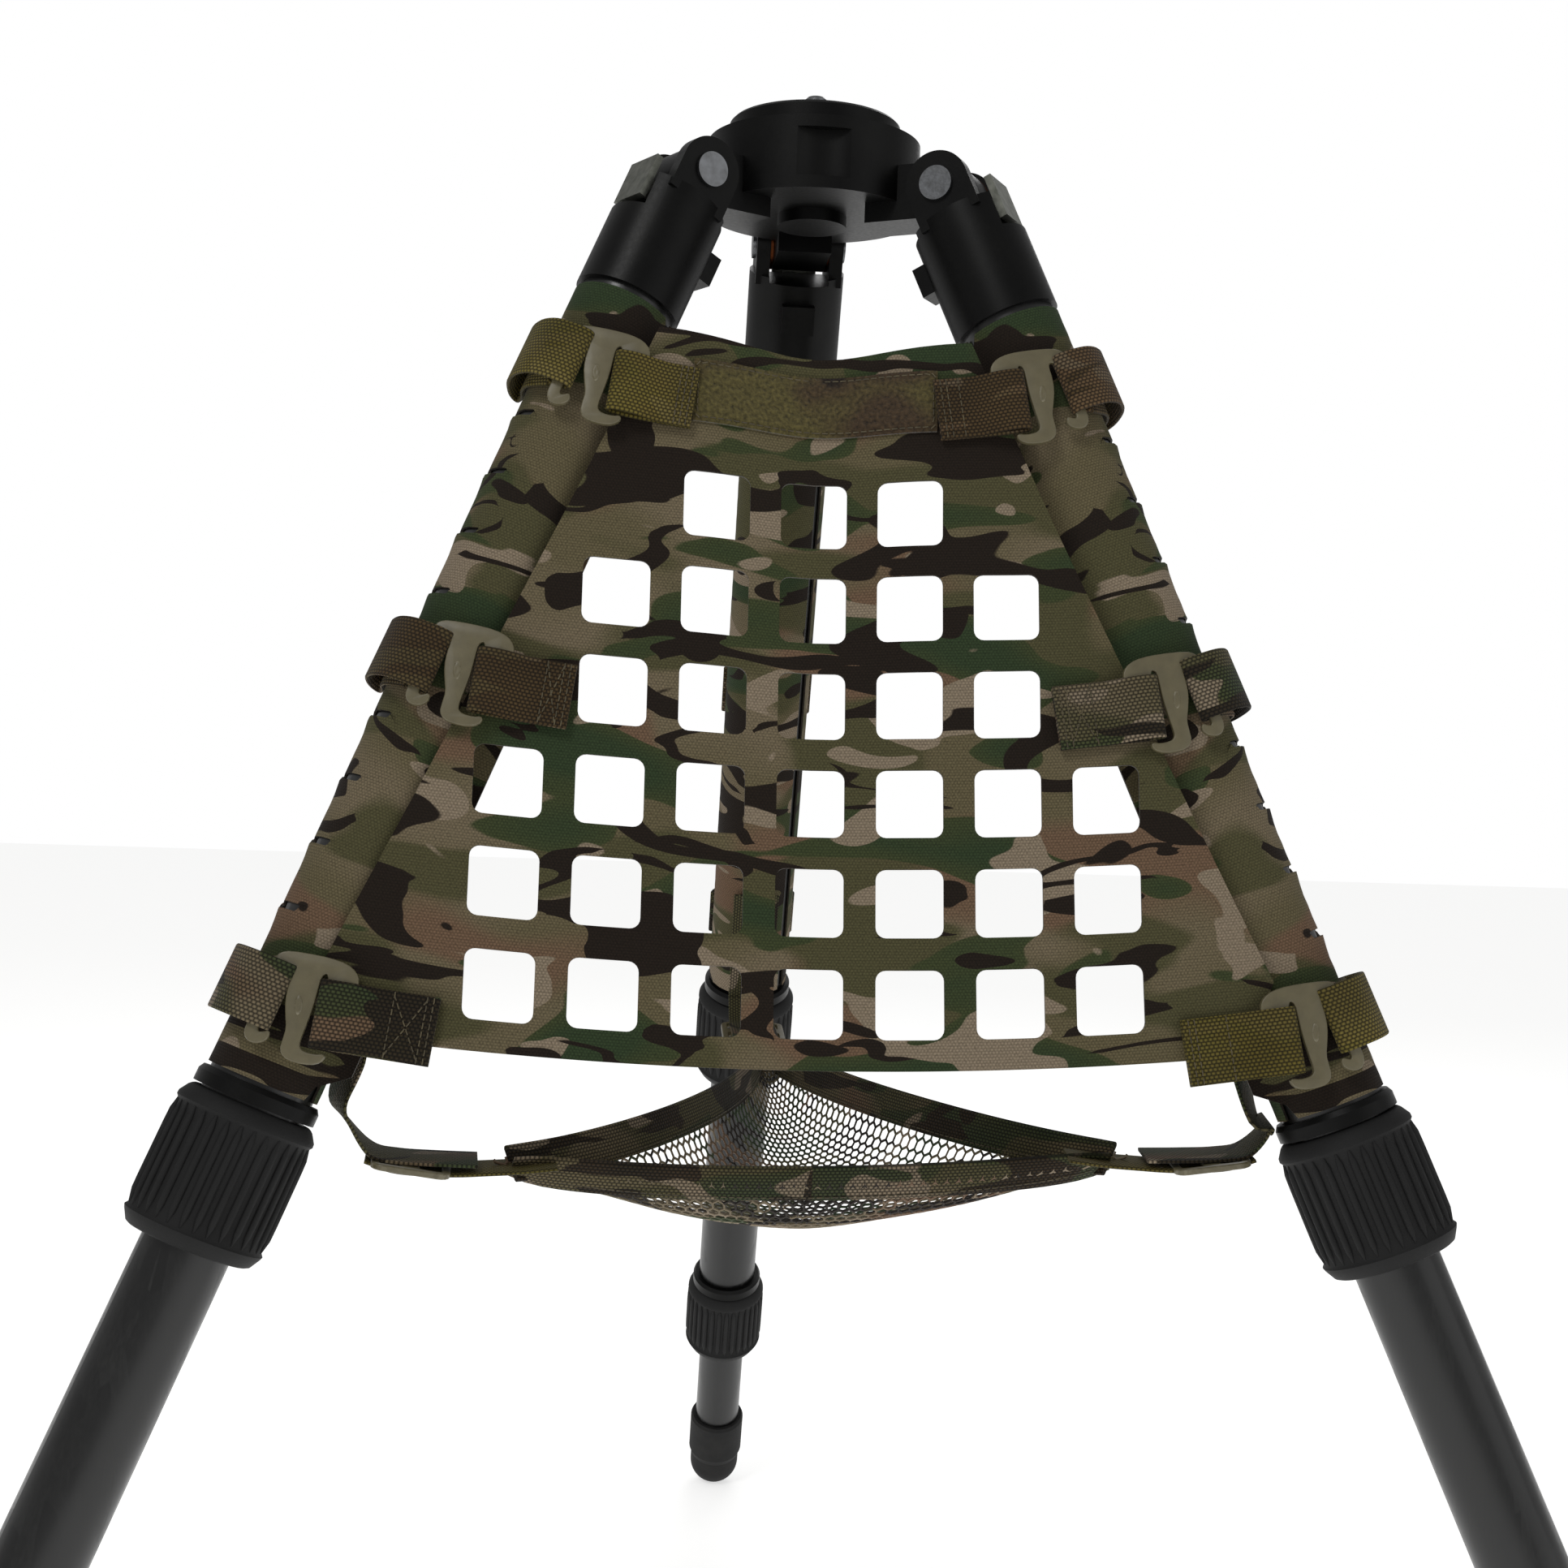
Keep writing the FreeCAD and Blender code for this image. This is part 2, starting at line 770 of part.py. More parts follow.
def wrap(leg, where, side):
    tag = "_" + leg
    top = size("wrap_top")
    end = size("wrap_end")
    outer = cylinder("wrap_out" + tag, size("wrap_r"), end - top, z=-end)
    flap = box(
        "wrap_flap" + tag,
        size("flap_reach") - size("wrap_r") + 1.8,
        size("flap_t"),
        end - top - 20,
        -size("flap_reach"),
        size("flap_off"),
        -end + 12,
    )
    turned = group("wrap_flap_turned" + tag, [flap])
    angle = panel_angle() - 90.0
    if side < 0:
        turned = doc.addObject("Part::Mirroring", "wrap_flap_other" + tag)
        turned.Source = flap
        turned.Base = FreeCAD.Vector(0, 0, 0)
        turned.Normal = FreeCAD.Vector(0, 1, 0)
    turned.Placement = FreeCAD.Placement(
        FreeCAD.Vector(0, 0, 0),
        FreeCAD.Rotation(FreeCAD.Vector(0, 0, 1), side * angle),
    )
    solid = outer
    if leg != "rear":
        solid = fuse("wrap_solid" + tag, [outer, turned])
    inner = cylinder(
        "wrap_in" + tag, size("wrap_r") - size("wrap_t"), end - top + 2, z=-end - 1
    )
    cuts = [inner]
    for k in range(11):
        if k % 5 == 0:
            continue
        at = size("slot_first") + size("slot_pitch") * k
        slot = box(
            "wrap_slot_%d%s" % (k, tag),
            12,
            size("slot_w"),
            size("slot_h"),
            14,
            -size("slot_w") / 2,
            -at - size("slot_h") / 2,
        )
        cuts.append(slot)
    tools = fuse("wrap_cuts" + tag, cuts)
    node(cut("wrap" + tag, solid, tools), leg + "_wrap", where)


# ---------------------------------------------------------------- soft bands


def side_points(path, closed, offset):
    """The path moved sideways by offset, in its own XY plane."""
    moved = []
    count = len(path)
    for i in range(count):
        if closed:
            before = path[(i - 1) % count]
            after = path[(i + 1) % count]
        else:
            before = path[max(i - 1, 0)]
            after = path[min(i + 1, count - 1)]
        run = after - before
        run.normalize()
        aside = FreeCAD.Vector(-run.y, run.x, 0)
        moved.append(path[i] + aside * offset)
    return moved


def smooth(points, closed):
    curve = Part.BSplineCurve()
    if closed:
        curve.interpolate(points, PeriodicFlag=True)
    else:
        curve.interpolate(points)
    return curve.toShape()


def closed_band(path, thick, low, width):
    half = thick / 2
    a = Part.Wire([smooth(side_points(path, True, half), True)])
    b = Part.Wire([smooth(side_points(path, True, -half), True)])
    big = a
    small = b
    if b.BoundBox.DiagonalLength > a.BoundBox.DiagonalLength:
        big = b
        small = a
    solid = Part.Face(big).extrude(FreeCAD.Vector(0, 0, width))
    hole = Part.Face(small).extrude(FreeCAD.Vector(0, 0, width))
    made = solid.cut(hole)
    made.translate(FreeCAD.Vector(0, 0, low))
    return made


def open_band(path, thick, low, width):
    half = thick / 2
    path = [point + FreeCAD.Vector(0, 0, low) for point in path]
    a = side_points(path, False, half)
    b = side_points(path, False, -half)
    edges = [
        smooth(a, False),
        Part.makeLine(a[-1], b[-1]),
        smooth(b, False),
        Part.makeLine(b[0], a[0]),
    ]
    wire = Part.Wire(Part.__sortEdges__(edges))
    return Part.Face(wire).extrude(FreeCAD.Vector(0, 0, width))


def freeform(name, shape, where):
    obj = doc.addObject("Part::Feature", name)
    obj.Shape = shape
    node(obj, name, where)


LOOP_DRAWN_R = 21.6
LOOP_PATH = [
    (1.8, 27.6),
    (3.4, 30.8),
    (9.5, 31.0),
    (17.2, 28.6),
    (24.0, 20.5),
    (28.4, 9.0),
    (28.6, -3.5),
    (25.4, -9.5),
    (23.0, -4.0),
    (22.6, 4.0),
    (19.8, 11.6),
    (15.0, 18.0),
    (9.5, 24.0),
    (5.0, 24.6),
]


def loops(leg, where, side):
    """Three webbing loops sewn to the wrap's outer side."""
    path = []
    grow = size("wrap_r").value / LOOP_DRAWN_R
    for u, n in LOOP_PATH:
        path.append(to_leg(u * grow, n * grow, side))
    made = []
    width = size("web_w").value
    thick = size("web_t").value
    for alias in ("loop1_at", "loop2_at", "loop3_at"):
        low = -size(alias).value - width / 2
        made.append(closed_band(path, thick, low, width))
    freeform(leg + "_loops", Part.makeCompound(made), where)


# ---------------------------------------------------------------- the panel


def panel_outline(sketch):
    top = size("panel_top_y")
    dip = size("panel_top_y") - size("panel_dip")
    quarter = size("panel_top_w") / 4
    points = [
        (-size("panel_top_w") / 2, top),
        (-size("panel_low_w") / 2, -size("panel_low_y")),
        (-size("panel_end_w") / 2, -size("panel_end_y")),
        (size("panel_end_w") / 2, -size("panel_end_y")),
        (size("panel_low_w") / 2, -size("panel_low_y")),
        (size("panel_top_w") / 2, top),
        (quarter, dip + size("panel_dip") * 0.28),
        (0, dip),
        (-quarter, dip + size("panel_dip") * 0.28),
    ]
    polygon(sketch, points)


def panel():
    body = padded("panel_sheet", "XY_Plane", size("panel_t"), panel_outline)
    for row, count in enumerate(ROWS):
        sketch = sketch_on(body, "XY_Plane", "panel_hole_%d" % row)
        x = -size("hole_pitch") * ((count - 1) / 2.0)
        y = -size("hole_pitch") * row
        rounded_square(sketch, x, y, size("hole"), size("hole_r"))
        pocket = body.newObject("PartDesign::Pocket", "panel_cut_%d" % row)
        pocket.Profile = sketch
        pocket.Type = "ThroughAll"
        pocket.Midplane = True
        pattern = body.newObject("PartDesign::LinearPattern", "panel_row_%d" % row)
        pattern.Originals = [pocket]
        pattern.Direction = (sketch, ["H_Axis"])
        bind(pattern, "Length", size("hole_pitch") * (count - 1))
        pattern.Occurrences = count
        body.Tip = pattern
    off = size("panel_off").value
    node(body, "panel", panel_place(off, size("panel_x").value))


def loop_patch():
    back = size("panel_t") + 0.02
    w = size("patch_w")
    h = size("patch_h")
    y = size("patch_y")
    made = box("patch_box", w, h, size("patch_t"), -w / 2, y - h / 2, back)
    off = size("panel_off").value
    holder = group("patch_holder", [made])
    node(holder, "loop_patch", panel_place(off, size("panel_x").value))


HOOKS = ["1", "2", "3"]


def hook_outline(sketch):
    """Seen from the front with the leg side at negative X."""
    points = [
        (-11.8, 18.6),
        (-9.0, 19.5),
        (17.0, 19.5),
        (18.5, 17.0),
        (18.5, -15.0),
        (16.0, -19.0),
        (-3.0, -19.0),
        (-5.0, -16.0),
        (-3.5, -9.0),
        (-5.4, 0.0),
        (-3.6, 8.0),
        (-4.2, 13.3),
        (-7.6, 13.3),
        (-14.2, -13.6),
        (-10.4, -13.8),
        (-9.4, -16.4),
        (-12.0, -18.2),
        (-17.0, -18.4),
        (-20.0, -15.5),
        (-12.8, 14.0),
    ]
    polygon(sketch, points)
    inner = [
        (4.2, 13.6),
        (3.6, -6.0),
        (1.6, -14.6),
        (13.6, -14.6),
        (13.6, 13.6),
    ]
    polygon(sketch, inner)


def hooks(leg, side):
    made = []
    for number in HOOKS:
        tag = "hook_%s_%s" % (leg, number)
        body = padded(tag, "XY_Plane", size("hook_t"), hook_outline)
        turned = body
        if side < 0:
            turned = doc.addObject("Part::Mirroring", tag + "_mirror")
            turned.Source = body
            turned.Base = FreeCAD.Vector(0, 0, 0)
            turned.Normal = FreeCAD.Vector(1, 0, 0)
        holder = group(tag + "_set", [turned])
        holder.Placement = hook_spot(number, side)
        made.append(holder)
    node(group("hooks_" + leg, made), leg + "_hooks", FreeCAD.Placement())


def hook_spot(number, side):
    x = -side * size("hook%s_x" % number).value
    y = size("hook%s_y" % number).value
    off = size("panel_off").value + size("hook_off").value
    return panel_place(off, x, y, -side * size("hook_tilt").value)


def tabs(leg, side):
    """Webbing folded round each hook's inner bar and sewn to the panel."""
    made = []
    thick = size("web_t")
    width = size("web_w")
    hook_off = size("hook_off").value
    flat_z = size("panel_t") - hook_off + 0.25
    for number in HOOKS:
        tag = "tab_%s_%s" % (leg, number)
        inner = side * 16.05
        ring_len = 8.6
        low = -thick - 0.3
        tall = size("hook_t") + 2 * thick + 0.6
        sleeve = box(
            tag + "_sleeve",
            ring_len + 4,
            width,
            tall,
            inner - ring_len / 2 - (4 if side < 0 else 0),
            -width / 2 - 1.0,
            low,
        )
        hole = box(
            tag + "_hole",
            5.9,
            width + 10,
            size("hook_t") + 0.6,
            inner - 2.95,
            -width / 2 - 6,
            -0.3,
        )
        start = inner + side * 6.0
        reach = size("tab%s_len" % number) - 22
        tail = box(
            tag + "_tail",
            reach,
            width,
            thick * 2,
            start - (reach if side < 0 else 0),
            -width / 2 - 1.0,
            flat_z,
        )
        whole = fuse(tag + "_whole", [sleeve, tail])
        piece = cut(tag, whole, hole)
        piece.Placement = hook_spot(number, side)
        made.append(piece)
    node(group("tabs_" + leg, made), "panel_tabs_" + leg, FreeCAD.Placement())


# ---------------------------------------------------------------- the tray


def tray_corner(index):
    z = size("tray_z").value + 42.87
    front = size("tray_front").value
    half = size("tray_half").value
    if index == 0:
        return FreeCAD.Vector(-half, front, z)
    if index == 1:
        return FreeCAD.Vector(half, front, z)
    return FreeCAD.Vector(0, size("tray_rear").value, z + 6)


def tray_point(a, b, c, lift=0.0):
    """A point of the tray by its three shares, with bowed edges and a belly."""
    corners = [tray_corner(0), tray_corner(1), tray_corner(2)]
    middle = (corners[0] + corners[1] + corners[2]) * (1.0 / 3.0)
    spot = corners[0] * a + corners[1] * b + corners[2] * c
    pull = 0.0
    for p, q, r in ((a, b, c), (b, c, a), (c, a, b)):
        pull += 4.0 * p * q * (1.0 - r) ** 2
    ring = max(0.0, 1.0 - 27.0 * a * b * c)
    flat = FreeCAD.Vector(middle.x - spot.x, middle.y - spot.y, 0)
    if flat.Length > 1e-6:
        flat.normalize()
    bow = size("tray_bow").value
    spot = spot + flat * (bow * min(1.0, pull) * ring)
    spot.z = spot.z - size("tray_sag").value * (27.0 * a * b * c) ** 0.75
    spot.z = spot.z - 4.0 * min(1.0, pull) * ring + lift
    return spot


def facet_solid(rows_top, rows_low):
    """Close a triangular grid of points, given above and below, into a solid."""
    faces = []

    def add(p, q, r):
        wire = Part.makePolygon([p, q, r, p])
        faces.append(Part.Face(wire))

    n = len(rows_top) - 1
    for i in range(n):
        for j in range(i + 1):
            for rows, flip in ((rows_top, False), (rows_low, True)):
                p = rows[i][j]
                q = rows[i + 1][j]
                r = rows[i + 1][j + 1]
                if flip:
                    add(p, r, q)
                else:
                    add(p, q, r)
                if j < i:
                    s = rows[i][j + 1]
                    if flip:
                        add(p, s, r)
                    else:
                        add(p, r, s)
    edge = [(i, 0) for i in range(n)]
    edge += [(n, j) for j in range(n)]
    edge += [(i, i) for i in range(n, 0, -1)]
    for k, here in enumerate(edge):
        there = edge[(k + 1) % len(edge)]
        a = rows_top[here[0]][here[1]]
        b = rows_top[there[0]][there[1]]
        c = rows_low[there[0]][there[1]]
        d = rows_low[here[0]][here[1]]
        add(a, d, c)
        add(a, c, b)
    shell = Part.makeShell(faces)
    solid = Part.makeSolid(shell)
    if solid.Volume < 0:
        solid.reverse()
    return solid


def tray_mesh():
    n = 12
    trim = 0.035
    top = []
    low = []
    thick = size("tray_t").value
    for i in range(n + 1):
        row_top = []
        row_low = []
        for j in range(i + 1):
            c = 1.0 - i / n
            b = j / n
            a = 1.0 - b - c
            shares = []
            for value in (a, b, c):
                shares.append(trim + value * (1.0 - 3.0 * trim))
            row_top.append(tray_point(shares[0], shares[1], shares[2]))
            row_low.append(tray_point(shares[0], shares[1], shares[2], -thick))
        top.append(row_top)
        low.append(row_low)
    freeform("tray_mesh", facet_solid(top, low), FreeCAD.Placement())


def tray_binding():
    """Folded tape along the three edges, lying just over the mesh's rim."""
    pieces = []
    thick = size("bind_t").value
    width = size("bind_w").value
    gap = 0.35
    for first in range(3):
        rows = []
        steps = 12
        for k in range(steps + 1):
            t = 0.06 + 0.88 * k / steps
            shares = [0.0, 0.0, 0.0]
            shares[first] = 1.0 - t
            shares[(first + 1) % 3] = t
            spot = tray_point(shares[0], shares[1], shares[2], gap)
            inner = tray_point(
                shares[0] * 0.9 + 0.0333,
                shares[1] * 0.9 + 0.0333,
                shares[2] * 0.9 + 0.0333,
                gap,
            )
            aside = FreeCAD.Vector(inner.x - spot.x, inner.y - spot.y, 0)
            aside.normalize()
            rows.append((spot - aside * 1.5, spot + aside * (width - 1.5)))
        pieces.append(ribbon(rows, thick))
    made = pieces[0].fuse([pieces[1], pieces[2]])
    freeform("tray_binding", made, FreeCAD.Placement())


def ribbon(rows, thick):
    """A closed solid over a strip of point pairs, thick upwards."""
    faces = []
    up = FreeCAD.Vector(0, 0, thick)

    def quad(p, q, r, s):
        faces.append(Part.Face(Part.makePolygon([p, q, r, p])))
        faces.append(Part.Face(Part.makePolygon([p, r, s, p])))

    for k in range(len(rows) - 1):
        a, b = rows[k]
        d, c = rows[k + 1]
        quad(a, b, c, d)
        quad(a + up, d + up, c + up, b + up)
        quad(a, d, d + up, a + up)
        quad(b, b + up, c + up, c)
    for k in (0, -1):
        a, b = rows[k]
        quad(a, a + up, b + up, b)
    solid = Part.makeSolid(Part.makeShell(faces))
    if solid.Volume < 0:
        solid.reverse()
    return solid


# each strap runs in the leg's upright plane: (outwards from the tray's corner, up)
STRAP_PATH = [
    (52.0, 42.0),
    (53.0, 30.0),
    (54.0, 19.0),
    (50.0, 9.5),
    (41.0, 4.2),
    (32.5, 3.0),
]


def strap_top(index):
    """Where the strap leaves the wrap, on the leg's inner side."""
    azimuth = math.radians(LEGS[index][1])
    out = FreeCAD.Vector(math.cos(azimuth), math.sin(azimuth), 0)
    splay = math.radians(size("splay_deg").value)
    top = tray_corner(index).z + STRAP_PATH[0][1]
    axis_r = size("pin_radius").value - top * math.tan(splay)
    skin = axis_r - (size("wrap_r").value + size("strap_clear").value) / math.cos(splay)
    spot = out * skin
    spot.z = top
    return spot


def strap_run(index):
    """The level direction from the tray's corner to the strap's top."""
    run = strap_top(index) - tray_corner(index)
    run.z = 0
    run.normalize()
    return run


def tray_frame(index):
    """A frame at a tray corner: X outwards to the leg, Y up, Z across."""
    out = strap_run(index)
    up = FreeCAD.Vector(0, 0, 1)
    across = out.cross(up)
    turn = FreeCAD.Rotation(out, up, across, "ZXY")
    return FreeCAD.Placement(tray_corner(index), turn)


def tray_strap(index, leg):
    """Webbing from the wrap's inner side down to the tray hook."""
    path = []
    for x, y in STRAP_PATH:
        path.append(FreeCAD.Vector(x - strap_inset(index), y, 0))
    width = size("web_w").value
    band = open_band(path, size("web_t").value, -width / 2, width)
    freeform("tray_strap_" + leg, band, tray_frame(index))


def strap_inset(index):
    """Slides the strap so that its top meets the wrap's inner side."""
    gap = strap_top(index) - tray_corner(index)
    gap.z = 0
    return STRAP_PATH[0][0] - gap.Length


def tray_hook_outline(sketch):
    """A flat ladder buckle, drawn lying in its X and Y plane."""
    points = [(-16.0, -17.0), (16.0, -17.0), (16.0, 17.0), (-16.0, 17.0)]
    polygon(sketch, points)
    for low, high in ((-12.5, -3.0), (3.0, 12.5)):
        hole = [(low, -13.2), (high, -13.2), (high, 13.2), (low, 13.2)]
        polygon(sketch, hole)


def tray_hook(index, leg):
    name = "tray_hook_" + leg
    body = padded(name, "XY_Plane", size("hook_t"), tray_hook_outline)
    out = strap_run(index)
    up = FreeCAD.Vector(0, 0, 1)
    across = up.cross(out)
    turn = FreeCAD.Rotation(out, across, up, "ZXY")
    reach = 12.0
    spot = tray_corner(index) + out * reach - up * (size("hook_t").value + 1.5)
    node(body, name, FreeCAD.Placement(spot, turn))


# ---------------------------------------------------------------- assembly


def build_leg(leg, azimuth, side):
    where = leg_place(azimuth)
    yoke(leg, where)
    hinge_pin(leg, where)
    washers(leg, where)
    latch(leg, where)
    tube(
        "tube_upper_" + leg,
        leg + "_upper_tube",
        where,
        size("upper_r"),
        size("wall"),
        size("socket_top") + 0.5,
        size("upper_end"),
    )
    wrap(leg, where, side)
    ring(
        "ring_upper_" + leg,
        leg + "_ring_1",
        where,
        size("ring_r"),
        size("upper_r") + 0.05,
        size("ring_top"),
    )
    grip(
        "grip_upper_" + leg,
        leg + "_grip_1",
        where,
        size("grip_r"),
        size("grip_top"),
        size("grip_h"),
        size("upper_r") + size("part_gap"),
        size("mid_r") + size("part_gap"),
    )
    tube(
        "tube_mid_" + leg,
        leg + "_mid_tube",
        where,
        size("mid_r"),
        size("wall"),
        size("mid_top"),
        size("mid_end"),
    )
    ring(
        "ring_lower_" + leg,
        leg + "_ring_2",
        where,
        size("ring2_r"),
        size("mid_r") + 0.05,
        size("ring2_top"),
    )
    grip(
        "grip_lower_" + leg,
        leg + "_grip_2",
        where,
        size("grip2_r"),
        size("grip2_top"),
        size("grip2_h"),
        size("mid_r") + size("part_gap"),
        size("low_r") + size("part_gap"),
    )
    tube(
        "tube_low_" + leg,
        leg + "_low_tube",
        where,
        size("low_r"),
        size("wall"),
        size("low_top"),
        size("low_end"),
    )
    foot(leg, where)
    loops(leg, where, side)


def build():
    fill_sheet()
    hub_casting()
    top_plate()
    top_stud()
    for leg, azimuth, side in LEGS:
        build_leg(leg, azimuth, side)
    panel()
    loop_patch()
    for leg, azimuth, side in LEGS[:2]:
        hooks(leg, side)
        tabs(leg, side)
    tray_mesh()
    tray_binding()
    for index, (leg, azimuth, side) in enumerate(LEGS):
        tray_strap(index, leg)
        tray_hook(index, leg)
    doc.recompute()


def checked():
    for obj in doc.Objects:
        for word in ("Invalid", "Error"):
            if word in obj.State:
                raise RuntimeError("%s is %s" % (obj.Label, obj.State))
    for obj in nodes:
        shape = obj.Shape
        if shape.isNull():
            raise RuntimeError(obj.Label + " has no shape")
        if not shape.isValid():
            raise RuntimeError(obj.Label + " has a bad shape")


def overall():
    """The whole part's bounds, from its meshed surfaces."""
    low = [1e9, 1e9, 1e9]
    high = [-1e9, -1e9, -1e9]
    for obj in nodes:
        points, _ = obj.Shape.tessellate(0.02)
        for p in points:
            for i, value in enumerate((p.x, p.y, p.z)):
                low[i] = min(low[i], value)
                high[i] = max(high[i], value)
    return low, high


def stand_on_origin():
    """Move every node so that the part stands on Z zero, centred in plan."""
    low, high = overall()
    move = FreeCAD.Vector(-(low[0] + high[0]) / 2, -(low[1] + high[1]) / 2, -low[2])
    for obj in nodes:
        held = obj.Placement
        obj.Placement = FreeCAD.Placement(held.Base + move, held.Rotation)
    doc.recompute()
    return move


def export():
    for obj in nodes:
        obj.Shape.exportStep("parts/" + obj.Label + ".step")


build()
checked()
shift = stand_on_origin()
checked()
export()
print("pin level at (%.4f, %.4f, %.4f)" % (shift.x, shift.y, shift.z))
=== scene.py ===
import json
import math

import bmesh
import bpy
from bpy.props import FloatProperty, FloatVectorProperty, IntProperty, PointerProperty
from mathutils import Matrix, Vector, geometry, noise


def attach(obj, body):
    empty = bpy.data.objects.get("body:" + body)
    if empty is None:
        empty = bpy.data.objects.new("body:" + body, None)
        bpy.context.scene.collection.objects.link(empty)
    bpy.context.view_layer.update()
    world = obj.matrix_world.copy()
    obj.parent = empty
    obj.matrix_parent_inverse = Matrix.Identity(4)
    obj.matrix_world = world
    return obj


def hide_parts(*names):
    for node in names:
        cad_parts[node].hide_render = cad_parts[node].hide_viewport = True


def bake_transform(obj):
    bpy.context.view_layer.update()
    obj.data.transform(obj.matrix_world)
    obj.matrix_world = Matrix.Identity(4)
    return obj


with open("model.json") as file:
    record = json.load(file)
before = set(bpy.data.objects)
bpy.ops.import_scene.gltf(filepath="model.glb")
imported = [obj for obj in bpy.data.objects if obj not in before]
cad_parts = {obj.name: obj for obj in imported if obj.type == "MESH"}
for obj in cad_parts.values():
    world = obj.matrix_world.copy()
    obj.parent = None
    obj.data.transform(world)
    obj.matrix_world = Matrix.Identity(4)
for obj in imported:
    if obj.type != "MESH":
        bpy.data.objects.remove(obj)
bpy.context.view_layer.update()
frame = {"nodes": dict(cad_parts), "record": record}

bl_info = {
    "name": "Field tripod in camouflage cloth",
    "version": (1, 0, 0),
    "blender": (4, 5, 0),
    "location": "View3D > Sidebar > Tripod",
    "description": "Builds the load panel, leg wraps, hooks and mesh tray round a tripod",
    "category": "Object",
}

MM = 0.001
LEGS = ("left", "right", "rear")
SIDE = {"left": 1.0, "right": -1.0, "rear": -1.0}
JOINTS = {j["name"]: j for j in frame["record"]["behaviour"]["joints"]}
PINS = {leg: Vector(JOINTS[leg + "_leg_fold"]["pos_m"]) for leg in LEGS}
AXIS = sum(PINS.values(), Vector()) / 3.0

# ------------------------------------------------------------ local frames


def frame_of(origin, x, y, z):
    """A matrix from millimetres along x, y and z to metres in the row frame."""
    rows = [[x[i] * MM, y[i] * MM, z[i] * MM, origin[i]] for i in range(3)]
    return Matrix(rows + [[0, 0, 0, 1]])


def leg_frame(leg):
    """Hinge pin at the origin, X outwards, Y along the pin, Z up the leg."""
    across = Vector(JOINTS[leg + "_leg_fold"]["axis"]).normalized()
    up = -Vector(JOINTS[leg + "_mid_slide"]["axis"]).normalized()
    return frame_of(PINS[leg], across.cross(up), across, up)


LEG = {leg: leg_frame(leg) for leg in LEGS}
SPLAY = math.acos((LEG["left"].col[2].xyz / MM).z)
LEAN = math.atan(0.5 * math.tan(SPLAY))
RIGHT = Vector((1, 0, 0))
UP_SLOPE = Vector((0, math.sin(LEAN), math.cos(LEAN)))
FACING = Vector((0, -math.cos(LEAN), math.sin(LEAN)))
# the two leg lines meet the row frame's axis 45 mm out, at this height over the pins
APEX_OUT, APEX_UP, ROW_DROP = 45.0, 42.87, 194.4
ROW_ONE = AXIS + Vector((0, -0.5 * APEX_OUT, APEX_UP)) * MM - UP_SLOPE * ROW_DROP * MM
PANEL = frame_of(ROW_ONE, RIGHT, UP_SLOPE, FACING)


def stand_point(x, y, z):
    """Millimetres from the tripod's axis, at the height where its leg lines start."""
    return AXIS + Vector((x, y, z + APEX_UP)) * MM


def panel_angle():
    """Angle round a leg from straight outwards to the panel's facing side."""
    local = LEG["left"].inverted().to_3x3() @ FACING
    return math.atan2(local.y, local.x)


FRONT = panel_angle()


def on_leg(leg, u, n, t):
    """u away from the panel's middle, n to its facing side, t down from the pin."""
    x = n * math.cos(FRONT) + u * math.sin(FRONT)
    y = SIDE[leg] * (n * math.sin(FRONT) - u * math.cos(FRONT))
    return LEG[leg] @ Vector((x, y, -t))


# ------------------------------------------------------------ nodes and materials


def linear(code, gain=1.0):
    """An sRGB hex colour as linear red, green, blue and alpha."""
    values = [int(code[i : i + 2], 16) / 255.0 for i in (1, 3, 5)]
    made = [v / 12.92 if v <= 0.04045 else ((v + 0.055) / 1.055) ** 2.4 for v in values]
    return tuple(min(1.0, gain * v) for v in made) + (1.0,)


def add(tree, kind, inputs=None, ramp=None, **settings):
    """Adds a node; inputs may be plain values or the sockets that feed them."""
    made = tree.nodes.new(kind)
    for name, value in settings.items():
        setattr(made, name, value)
    for key, value in (inputs or {}).items():
        if isinstance(value, bpy.types.NodeSocket):
            tree.links.new(value, made.inputs[key])
        else:
            made.inputs[key].default_value = value
    if ramp:
        stops = made.color_ramp.elements
        while len(stops) < len(ramp):
            stops.new(0.5)
        for stop, (place, colour) in zip(stops, ramp):
            stop.position = place
            stop.color = colour
    return made


def new_material(name):
    made = bpy.data.materials.new(name)
    made.use_nodes = True
    tree = made.node_tree
    tree.nodes.clear()
    shader = add(tree, "ShaderNodeBsdfPrincipled")
    add(tree, "ShaderNodeOutputMaterial", {"Surface": shader.outputs[0]})
    return made, tree, shader


def maths(tree, operation, a, b=0.0, c=0.0, clamp=False):
    inputs = {0: a, 1: b, 2: c}
    return add(tree, "ShaderNodeMath", inputs, operation=operation, use_clamp=clamp).outputs[0]


def mixed(tree, factor, a, b, blend="MIX"):
    return add(
        tree, "ShaderNodeMix", {0: factor, 6: a, 7: b}, data_type="RGBA", blend_type=blend
    ).outputs[2]


def tinted(tree, shader, source, low, high):
    """Colours a surface from one tint to another as the source rises."""
    ramp = [(low[0], linear(low[1])), (high[0], linear(high[1]))]
    tint = add(tree, "ShaderNodeValToRGB", {0: source}, ramp=ramp)
    tree.links.new(tint.outputs[0], shader.inputs["Base Color"])


def shaded(tree, colour, light):
    """The colour made lighter or darker by a grey value."""
    tone = add(tree, "ShaderNodeCombineColor", {0: light, 1: light, 2: light})
    return mixed(tree, 1.0, colour, tone.outputs[0], "MULTIPLY")


